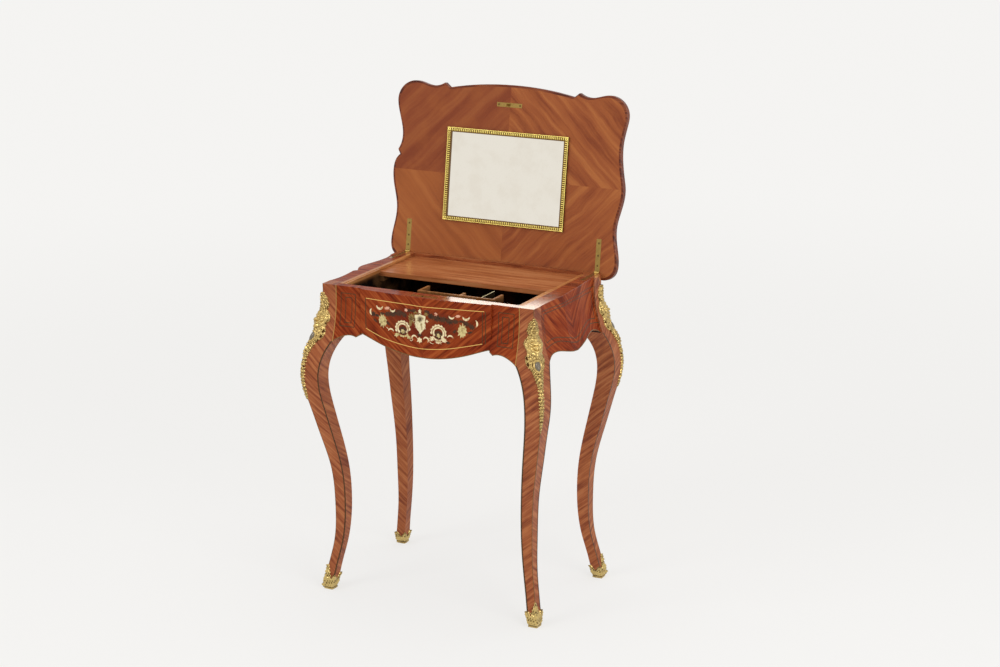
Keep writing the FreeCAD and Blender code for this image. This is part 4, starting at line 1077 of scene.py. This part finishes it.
def is_apron_edge(middle, along, normal, other):
    """The lower edge of a front or side panel, on its outer face."""
    if middle.z >= APRON_TOP or abs(along.z) >= APRON_STEEP:
        return False
    return abs(normal.z) < APRON_FACE and other.z < APRON_UNDERSIDE


# Gilt mounts

MOUNT_HALF = 30.4
MOUNT_STEP = 0.8
MOUNT_LOW = 457.0
MOUNT_HIGH = 703.0
BACK_MOUNT_HIGH = 699.0
# Half widths of the knee mount, height by height, before it is spread over the knee
MOUNT_OUTLINE = ((703, 0.6), (697, 5.5), (690, 10), (680, 12.5), (672, 14.5), (664, 12), (658, 16),
                 (652, 20), (645, 22.5), (638, 21), (632, 18.5), (625, 18), (618, 22), (610, 23.4),
                 (602, 22), (596, 17.5), (590, 13.5), (582, 11), (574, 9), (566, 7.4), (560, 6),
                 (540, 5.8), (520, 5.4), (500, 4.8), (480, 4), (465, 2.8), (457, 0.7))
MOUNT_SPREAD = 1.28
ROSETTE_HEIGHT = 641.5
CABOCHON_HEIGHT = 603.5
STONE_HALF_WIDTH = 5.2
STONE_HALF_HEIGHT = 9.0
# Openings in the scroll beside the stone, painted dark as the shade seen through them: off the
# middle and up
SCROLL_GAPS = ((18.4, 616), (17.8, 604), (15.6, 593))
GAP_RADIUS = 2.4
GAP_STRETCH = 1.6
DISC_HEIGHT = 672.0
DISC_REACH = 6.6
ROSETTE_REACH = 19
# Radius and half width of the rosette's rings of petals, the stone's setting and the disc's rim
OUTER_PETAL_RING = (14.5, 4.6)
INNER_PETAL_RING = (8.0, 3.6)
SETTING_RING = (1.30, 0.26)
DISC_RING = (5.0, 1.5)
# The radii of the domes in the middle of the rosette and of the disc
ROSETTE_HEART = 3.8
DISC_HEART = 2.6
# How far the stone's setting reaches, as a share of the stone
SETTING_REACH = 1.62
# The leafy stretches lie above the first height, and between the other two
LEAFY_HEIGHTS = (664, 556, 598)
GARLAND_TOP = 562
HUSK_PITCH = 7.2
LEAFAGE_RISE = 0.6
LEAFAGE_ON_FORMS = 0.25
# What a relief sinks to at its edge, and the level above which it is kept
BURIED = -0.8
KEPT_ABOVE = -0.7


def dome(distance, radius):
    """A round rise from 0 at the radius to 1 in the middle."""
    return np.sqrt(np.clip(1 - (distance / radius) ** 2, 0, 1))


def ring(distance, radius, width):
    """A rounded ridge at a radius."""
    return np.sqrt(np.clip(1 - ((distance - radius) / width) ** 2, 0, 1))


def off_stone(off, high):
    """How far from the middle of the stone, as a share of its half sizes."""
    return np.hypot(off / STONE_HALF_WIDTH, (high - CABOCHON_HEIGHT) / STONE_HALF_HEIGHT)


def mount_half(high, leafy, garland, husk):
    """The knee mount's half width, wavy where it is leafy and ragged along its garland."""
    heights, halves = np.array(MOUNT_OUTLINE[::-1], float).T
    half = np.interp(high, heights, halves)
    half = half + np.where(leafy, 1.1 * np.sin(high * 1.15), 0.0)
    ragged = 0.16 * np.sin(high * 0.83) + 0.1 * np.sin(high * 1.9)
    return np.where(garland, half * (0.84 + 0.24 * np.sin(husk ** 0.7 * math.pi) + ragged), half)


def cast_leafage(off, high):
    """The uneven leafage of the casting, low to high, and the veins of its leaves."""
    drift = 2.2 * np.sin(high * 0.19 + off * 0.23) + 1.5 * np.sin(off * 0.41 - high * 0.13)
    leafage = (np.sin(high * 0.82 + off * 0.7 + drift) * np.cos(off * 0.9 - high * 0.4 - drift)
               + 0.6 * np.sin(high * 0.5 - off * 1.5 + drift * 1.7)
               + 0.4 * np.sin(high * 1.7 + off * 1.2 - drift))
    return leafage, np.cos((high + off * 1.5) * 0.9 + drift * 0.4)


def rosette(off, high):
    """Where the rosette lies, how far it stands out, and how dark it is: brown with painted shade.
    """
    rose_up = high - ROSETTE_HEIGHT
    from_rose = np.hypot(off, rose_up)
    angle = np.arctan2(rose_up, off)
    outer_petals = np.abs(np.cos(angle * 4))
    inner_petals = np.abs(np.sin(angle * 4))
    rose = np.maximum.reduce([
        ring(from_rose, *OUTER_PETAL_RING) * (2.2 + 1.8 * outer_petals),
        ring(from_rose, *INNER_PETAL_RING) * (3.2 + 2.2 * inner_petals) + 1.2 * (from_rose < 11),
        dome(from_rose, ROSETTE_HEART) * 4.0 + 4.2 * (from_rose < 4.4)])
    hollow = np.clip(1.0 - rose / 2.6, 0, 1) + 0.6 * np.clip(0.45 - outer_petals, 0, 1)
    return from_rose < ROSETTE_REACH, 3.6 + rose * 1.15, hollow


def scroll_gaps(off, high):
    """Where the openings beside the stone lie, painted dark as shade."""
    dark = np.zeros(off.shape, bool)
    for gap_off, gap_height in SCROLL_GAPS:
        dark |= np.hypot(off - gap_off, (high - gap_height) / GAP_STRETCH) < GAP_RADIUS
    return dark


def mount_relief(off, high):
    """How far the knee mount stands out, off its middle and up, and its recesses' brown and
    painted shade.
    """
    off = off / MOUNT_SPREAD
    top, low, middle = LEAFY_HEIGHTS
    leafy = (high > top) | ((high < middle) & (high > low))
    garland = high < GARLAND_TOP
    husk = ((high - MOUNT_LOW) / HUSK_PITCH) % 1.0
    half = mount_half(high, leafy, garland, husk)
    edge = np.clip((half - off) / 1.6, -1, 1)
    leafage, veins = cast_leafage(off, high)
    out = 2.4 + 2.2 * (1 - (off / np.maximum(half, 1)) ** 2)
    out = out + np.where(leafy, 0.9 * veins + 1.4 * np.exp(-(off / 2.2) ** 2), 0.0)
    # Recesses darken: brown patina with painted shade in the veins, petals and openings
    hollow = np.where(leafy, np.clip(-veins, 0, 1) * 0.7, 0.0)
    from_stone = off_stone(off, high)
    stone = from_stone < 1
    in_rose, rose_out, rose_hollow = rosette(off, high)
    setting = (from_stone < SETTING_REACH) & ~in_rose
    setting_ring = ring(from_stone, *SETTING_RING)
    from_disc = np.hypot(off, high - DISC_HEIGHT)
    in_disc = from_disc < DISC_REACH
    disc_rim = ring(from_disc, *DISC_RING)
    forms = (
        (garland, 1.9 + 1.3 * np.sin(husk ** 0.7 * math.pi) + 0.5 * np.cos(off * 2.4),
         np.clip(0.85 - np.sin(husk * math.pi) * 1.5, 0, 1)),
        (in_rose, rose_out, rose_hollow),
        (setting, 2.4 + 2.6 * setting_ring, 0.6 - 0.6 * setting_ring),
        (stone, 2.0 + 3.2 * dome(from_stone, 1.0), 0.35),
        (scroll_gaps(off, high) & ~in_rose, 0.4, 1.0),
        (in_disc, 3.4 + 2.4 * disc_rim + 2.0 * dome(from_disc, DISC_HEART), 0.5 - 0.5 * disc_rim))
    for where, form_out, form_hollow in forms:
        out = np.where(where, form_out, out)
        hollow = np.where(where, form_hollow, hollow)
    on_forms = in_rose | in_disc | (from_stone < SETTING_REACH)
    carved = np.where(on_forms, LEAFAGE_ON_FORMS, 1.0) * (~stone)
    out = out + LEAFAGE_RISE * leafage * carved
    hollow = np.clip(hollow * 1.5 - 0.35, 0, 1)
    hollow = np.maximum(hollow, np.clip(-leafage * 1.6 - 0.6, 0, 0.9) * carved)
    raised = BURIED + (out - BURIED) * np.sqrt(np.clip(edge, 0, 1))
    return np.where(edge > 0, raised, BURIED), hollow


# The plane through the corner of the front right leg, where x and y sum to this, in metres
CORNER_SUM = 0.0694742
# How far beside that plane the corner is felt for, in metres, and the least step off it
BESIDE_CORNER = Vector((0, 1e-5, 0))
LEAST_STEP = 0.05


def corner_face(leg):
    """The front face beside a leg's corner: for a step off the corner and a height, its point."""
    surface = surface_of(leg)

    def find(off, high):
        lead = Vector((1, -1, 0)).normalized()
        middle = Vector((CORNER_SUM / 2, CORNER_SUM / 2, high * MM))
        corner, *_ = surface.ray_cast(middle + lead * FAR_OFF + BESIDE_CORNER, -lead)
        x = corner.x - max(off, LEAST_STEP) * MM
        return surface.ray_cast(Vector((x, -FAR_OFF, high * MM)), Vector((0, 1, 0)))[0]
    return find


def across_corner(point):
    """The same point on the leg's other outer face."""
    return np.stack([CORNER_SUM - point[..., 1], CORNER_SUM - point[..., 0], point[..., 2]], -1)


def mesh_grid(points, keep):
    """Corners and faces of a grid of points, for the cells that are kept."""
    rows, columns = keep.shape
    number = np.arange(rows * columns).reshape(rows, columns)
    wanted = keep[:-1, :-1] | keep[1:, :-1] | keep[:-1, 1:] | keep[1:, 1:]
    cells = np.stack([number[:-1, :-1], number[:-1, 1:], number[1:, 1:], number[1:, :-1]], -1)
    cells = cells[wanted]
    used = np.unique(cells)
    renumber = np.full(rows * columns, -1)
    renumber[used] = np.arange(len(used))
    return points.reshape(-1, 3)[used], renumber[cells].tolist(), used


def set_shares(piece, name, shares):
    """Stores a share at each corner, for the gilding."""
    layer = piece.data.attributes.new(name, "FLOAT", "POINT")
    layer.data.foreach_set("value", np.ascontiguousarray(shares, np.float32))


# How far off the corner the mount's direction turns towards it, in millimetres
CORNER_REACH = 9.0
CORNERS = (("front_right", 1, 1), ("front_left", -1, 1), ("back_right", 1, -1),
           ("back_left", -1, -1))


def lay_corners(prefix, front, points, keep, hollow, finish, stone=None):
    """The same relief at the two front corners, 1, or back ones, -1, for the CAD pieces there."""
    for word, side, back_or_front in CORNERS:
        if back_or_front != front:
            continue
        corners, faces, used = mesh_grid(points, keep)
        turned = corners.copy()
        turned[:, 0] *= side
        turned[:, 1] = LEG_MIDDLE + (turned[:, 1] - LEG_MIDDLE) * front
        if side * front < 0:
            faces = [row[::-1] for row in faces]
        piece = new_piece(prefix + "_relief_" + word, turned, faces, finish,
                          smooth=True)
        set_shares(piece, "hollow", hollow.reshape(-1)[used])
        if stone is not None:
            set_shares(piece, "stone", stone.reshape(-1)[used])
        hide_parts(prefix + "_" + word)


def mirrored(values):
    """The same values on both sides of the corner."""
    return np.concatenate([values[:, :0:-1], values], axis=1)


def make_knee_mounts():
    """Leaf, rosette, cabochon and husks of gilt bronze, wrapped round each knee's corner."""
    offs = np.arange(0, MOUNT_HALF + MOUNT_STEP / 2, MOUNT_STEP)
    highs = np.arange(MOUNT_LOW - MOUNT_STEP, MOUNT_HIGH + MOUNT_STEP, MOUNT_STEP)
    find = corner_face("leg_front_right")
    half = np.array([[find(off, high) for off in offs] for high in highs])
    normal = unit(np.cross(np.gradient(half, axis=0), np.gradient(half, axis=1)))
    normal *= np.sign(-normal[..., 1:2])
    lead = np.array([1, -1, 0]) / math.sqrt(2)
    turn = np.clip(1 - offs / CORNER_REACH, 0, 1)[None, :, None] ** 1.5
    normal = unit(normal * (1 - turn) + lead * turn)
    grid_off, grid_high = np.meshgrid(offs, highs)
    out, hollow = mount_relief(grid_off, grid_high)
    front = half + normal * out[..., None] * MM
    points = np.concatenate([front[:, :0:-1], across_corner(front)], axis=1)
    hollow = mirrored(hollow)
    stone = mirrored(off_stone(grid_off / MOUNT_SPREAD, grid_high) < 1)
    keep = mirrored(out) > KEPT_ABOVE
    lay_corners("knee_mount", 1, points, keep, hollow, "gilt_bronze", stone)
    keep &= points[..., 2] <= BACK_MOUNT_HIGH * MM
    lay_corners("knee_mount", -1, points, keep, hollow, "gilt_bronze", stone)


# The sabots: where the foot's middle stands, and how high cup and leaf are, front and back
FOOT_MIDDLE = (0.2585, -0.1890)
SABOT_SIZES = ((1, 33.0, 58.0), (-1, 28.0, 56.0))
SOLE_HEIGHT = 4.0
# The lowest level at which the foot is felt, in millimetres, and in metres how far out the
# feeling starts and how far in it ends where nothing is met
FOOT_LOW = 4.6
FOOT_CLEAR = 0.1
FOOT_INWARD = 0.09
# The cup's peaks and notches, the half width of its leaf, and the scroll at its corner: its
# height, its half sizes round and up, and its rise
CUP_DROP = 9.5
CUP_PEAK = 10.5
CUP_NOTCH = 1.6
LEAF_HALF = 1.05
SCROLL_HEIGHT = 10.0
SCROLL_HALF_SIZES = (0.30, 4.5)
SCROLL_RISE = 3.6
SOLE_OUT = 2.4
SABOT_TURN_STEPS = 144


def sabot_relief(turned, high, lip_height, top):
    """How far a sabot stands out, round from its corner and up, and its recesses, with painted
    shade.
    """
    peaks = np.abs(np.cos(turned * 2)) ** 3
    notches = np.abs(np.cos(turned * 7))
    lip = lip_height - CUP_DROP + CUP_PEAK * peaks + CUP_NOTCH * notches
    leaf_half = LEAF_HALF * np.clip((top - high) / (top - lip_height + 8), 0, 1) ** 0.8
    leaf_half = leaf_half * (1 + 0.2 * np.sin(high * 0.85))
    on_leaf = np.abs(turned) < leaf_half
    in_cup = high < lip
    leafage = (np.sin(high * 0.34 - np.abs(turned) * 9) * np.cos(turned * 8)
               + 0.5 * np.sin(high * 0.8 + np.abs(turned) * 15))
    swell = np.sin(np.clip(high / lip_height, 0, 1) * math.pi)
    flare = 3.0 * peaks * np.clip((high - lip_height + 14) / 14, 0, 1)
    out = np.where(in_cup, 1.7 + 1.0 * swell + flare + 0.9 * leafage, BURIED)
    rib = np.exp(-(turned / 0.10) ** 2)
    knobs = 1.3 * np.abs(np.sin(high * 0.42))
    curl = 2.2 * np.clip((high - top + 16) / 16, 0, 1)
    leaf_out = 1.6 + 1.2 * rib + knobs + curl + 0.8 * leafage
    out = np.where(on_leaf, np.maximum(out, leaf_out), out)
    wide, tall = SCROLL_HALF_SIZES
    out = out + SCROLL_RISE * np.exp(-(turned / wide) ** 2 - ((high - SCROLL_HEIGHT) / tall) ** 2)
    # Painted shadow: a dark line along the top of the cup, where the gilt meets the wood
    rim = np.clip((high - lip + 2.6) / 2.6, 0, 1) * in_cup * ~on_leaf
    hollow = np.maximum(np.clip(-leafage * 1.4 - 0.4, 0, 0.75), rim)
    neck = (high >= SOLE_HEIGHT) & (high < SOLE_HEIGHT + 2)
    hollow = np.where(neck, 0.8, hollow)
    return np.where(high < SOLE_HEIGHT, SOLE_OUT, out), hollow


def make_sabots():
    """A leafy gilt cup round each foot, with a leaf that climbs the corner."""
    surface = surface_of("leg_front_right")
    turns = np.linspace(0, math.tau, SABOT_TURN_STEPS + 1)
    bearings = turns - math.pi / 4
    away = np.stack([np.cos(bearings), np.sin(bearings), 0 * turns], 1)
    for front, lip_height, top in SABOT_SIZES:
        highs = np.arange(0.0, top + 1.0, 1.0)
        grid_turn, grid_high = np.meshgrid(turns, highs)
        base = np.zeros(grid_turn.shape + (3,))
        for row, high in enumerate(highs):
            level = max(high, FOOT_LOW) * MM
            for column, direction in enumerate(away):
                start = Vector((*FOOT_MIDDLE, level)) + Vector(direction) * FOOT_CLEAR
                spot, *_ = surface.ray_cast(start, -Vector(direction))
                base[row, column] = spot if spot else start - Vector(direction) * FOOT_INWARD
                base[row, column, 2] = high * MM
        turned = (grid_turn + math.pi) % math.tau - math.pi
        out, hollow = sabot_relief(turned, grid_high, lip_height, top)
        points = base + away[None, :, :] * out[..., None] * MM
        lay_corners("sabot", front, points, out > KEPT_ABOVE, hollow, "sabot_gilt")


# The mirror's frame: its beads, and the plain ridge outside them
BEAD_PITCH = 4.8 * MM
BEAD_HALF_LENGTH = 1.35 * MM
BEAD_HALF_WIDTH = 3.4 * MM
BEAD_RISE = 1.6 * MM
BEAD_SINK = 0.5 * MM
BEAD_STEPS = 6
# Its bars: the way they run, 0 across or 1 up, and the side that their outer edge is on
FRAME_BARS = (("bottom", 0, -1), ("top", 0, 1), ("left", 1, -1), ("right", 1, 1))
RIDGE_WIDTH = 1.8 * MM
RIDGE_RISE = 0.9 * MM


def lid_reach(node):
    """A lid piece's lowest and highest place across, up and out from the lid."""
    spots = np.array([corner.co for corner in nodes[node].data.vertices])
    x, y, z = spots.T
    out = (z - HINGE_Z) * LID_RISE_Y - (y - HINGE_Y) * LID_RISE_Z
    placed = np.stack([x, lid_up(y, z), out], 1)
    return placed.min(0), placed.max(0)


def make_frame_beading():
    """Transverse beads and an outer ridge along each side of the gilt mirror frame."""
    corners, faces, shares = [], [], []

    def add_patch(rows, columns, find, turned):
        first = len(corners)
        for row in range(rows + 1):
            for column in range(columns + 1):
                spot, hollow = find(row / rows * 2 - 1, column / columns * 2 - 1)
                corners.append(lid_point(*spot))
                shares.append(hollow)
        step = columns + 1
        for row in range(rows):
            for column in range(columns):
                at = first + row * step + column
                cell = [at, at + step, at + step + 1, at + 1]
                faces.append(cell[::-1] if turned else cell)

    for word, run, outer_side in FRAME_BARS:
        low, high = lid_reach("mirror_frame_" + word)
        middle = (low + high) / 2
        half_bar = (high[1 - run] - low[1 - run]) / 2
        length = high[run] - low[run]
        count = round(length / BEAD_PITCH)
        for number in range(count):
            bead_middle = low[run] + length * (number + 0.5) / count

            def on_bead(along, across):
                height = math.sqrt(max(1 - along ** 2, 0)) * (1 - across ** 4)
                spot = [0, 0, high[2] - BEAD_SINK + BEAD_RISE * height]
                spot[run] = bead_middle + along * BEAD_HALF_LENGTH
                spot[1 - run] = middle[1 - run] + across * BEAD_HALF_WIDTH
                # The gilding darkens towards each bead's foot: brown patina with painted shade
                # between the beads
                return spot, max(0.0, 0.9 - height * 2.2)
            add_patch(BEAD_STEPS, BEAD_STEPS, on_bead, run == 1)
        edge = middle[1 - run] + outer_side * (half_bar - RIDGE_WIDTH / 2)

        def on_ridge(along, across):
            spot = [0, 0, high[2] + RIDGE_RISE * math.sqrt(max(1 - across ** 2, 0))]
            spot[run] = middle[run] + along * length / 2
            spot[1 - run] = edge + across * RIDGE_WIDTH / 2
            return spot, 0.0
        add_patch(1, BEAD_STEPS, on_ridge, run == 1)
    piece = new_piece("mirror_frame_beading", corners, faces, "frame_gilt", "lid",
                      smooth=True)
    set_shares(piece, "hollow", shares)


# Floor, light and surroundings

FLOOR_HALF = 60.0
FLOOR_TONE = (245, 244, 242)
FLOOR_SHADE_TONE = (238, 237, 235)
BACKDROP_TONE = (245, 244, 242)
WORLD_LIGHT = 0.74
# The share of its own light that the floor has near the table and far away, and how far
FLOOR_LIGHT_SHARES = (0.72, 0.99)
FLOOR_LIGHT_REACH = (1.2, 4.5)
# Each lamp: its name, place, the point it faces, size and power
LAMPS = (("key_light", (-1.73, -2.99, 2.92), (0.08, 0.17, 0.82), 1.5, 33.0),
         ("side_light", (3.4, -1.8, 2.2), (0.0, 0.0, 0.6), 2.2, 54.0),
         ("top_light", (0.2, 0.6, 3.4), (0.0, 0.0, 0.6), 2.4, 14.0))


def seen_share(net):
    """One for rays from the camera, from gloss and through glass, and else zero."""
    rays = net.values(net.node("LightPath"))
    seen = rays["Is Camera Ray"].work("MAXIMUM", rays["Is Glossy Ray"])
    return seen.work("MAXIMUM", rays["Is Transmission Ray"])


def show(net, kind, share, plain, shown):
    """One shader, and another for the share of rays that see it."""
    mixed = net.value("MixShader", {"Fac": share, 1: plain, 2: shown})
    net.node("Output" + kind, {"Surface": mixed})


def make_floor():
    """A plain pale floor that keeps the table's faint shadow."""
    signs = ((-1, -1), (1, -1), (1, 1), (-1, 1))
    corners = [(x * FLOOR_HALF, y * FLOOR_HALF, 0) for x, y in signs]
    mesh = bpy.data.meshes.new("floor")
    mesh.from_pydata(corners, [], [[0, 1, 2, 3]])
    new_object("floor", mesh)
    material = bpy.data.materials.new("floor")
    material.use_nodes = True
    net = Net(material.node_tree)
    net.tree.nodes.clear()
    away = net.length(net.values(net.node("TexCoord"))["Object"])
    own = net.rise(away, *FLOOR_LIGHT_REACH, *FLOOR_LIGHT_SHARES)
    show(net, "Material", seen_share(net) * own,
         net.value("BsdfDiffuse", {"Color": tone(*FLOOR_SHADE_TONE)}),
         net.value("Emission", {"Color": tone(*FLOOR_TONE), "Strength": 1.0}))
    mesh.materials.append(material)


def make_surroundings():
    """A white room for gloss and for the background, at a plain level of light."""
    world = bpy.data.worlds.new("room")
    world.use_nodes = True
    net = Net(world.node_tree)
    net.tree.nodes.clear()
    show(net, "World", seen_share(net),
         net.value("Background", {"Color": (1.0, 1.0, 1.0, 1.0), "Strength": WORLD_LIGHT}),
         net.value("Background", {"Color": tone(*BACKDROP_TONE), "Strength": 1.0}))
    bpy.context.scene.world = world


def make_lamps():
    """Three soft boxes round the table."""
    for name, spot, target, size, power in LAMPS:
        data = bpy.data.lights.new(name, "AREA")
        data.shape = "SQUARE"
        data.size = size
        data.energy = power
        lamp = new_object(name, data)
        lamp.visible_camera = False
        lamp.location = spot
        lamp.rotation_mode = "QUATERNION"
        lamp.rotation_quaternion = (Vector(target) - Vector(spot)).to_track_quat("-Z", "Y")


set_camera()
finish_nodes()
front = onto_front("front_panel")
lay_front_strings(front)
lay_side_strings()
lay_marquetry(front)
for corner_word, _, _ in CORNERS:
    edge_bands("leg_corner_line_" + corner_word, "leg_" + corner_word, is_outer_arris, CORNER_LINE,
               "edge_brass")
    edge_bands("leg_banding_" + corner_word, "leg_" + corner_word, is_inner_edge, LEG_BANDING,
               "green_black_banding")
for panel_word in ("front_panel", "side_panel_left", "side_panel_right"):
    edge_bands("lower_band_" + panel_word, panel_word, is_apron_edge, APRON_BAND,
               "edge_brass")
make_knee_mounts()
make_sabots()
make_frame_beading()
make_floor()
make_surroundings()
make_lamps()
bpy.context.scene.view_settings.view_transform = "Standard"
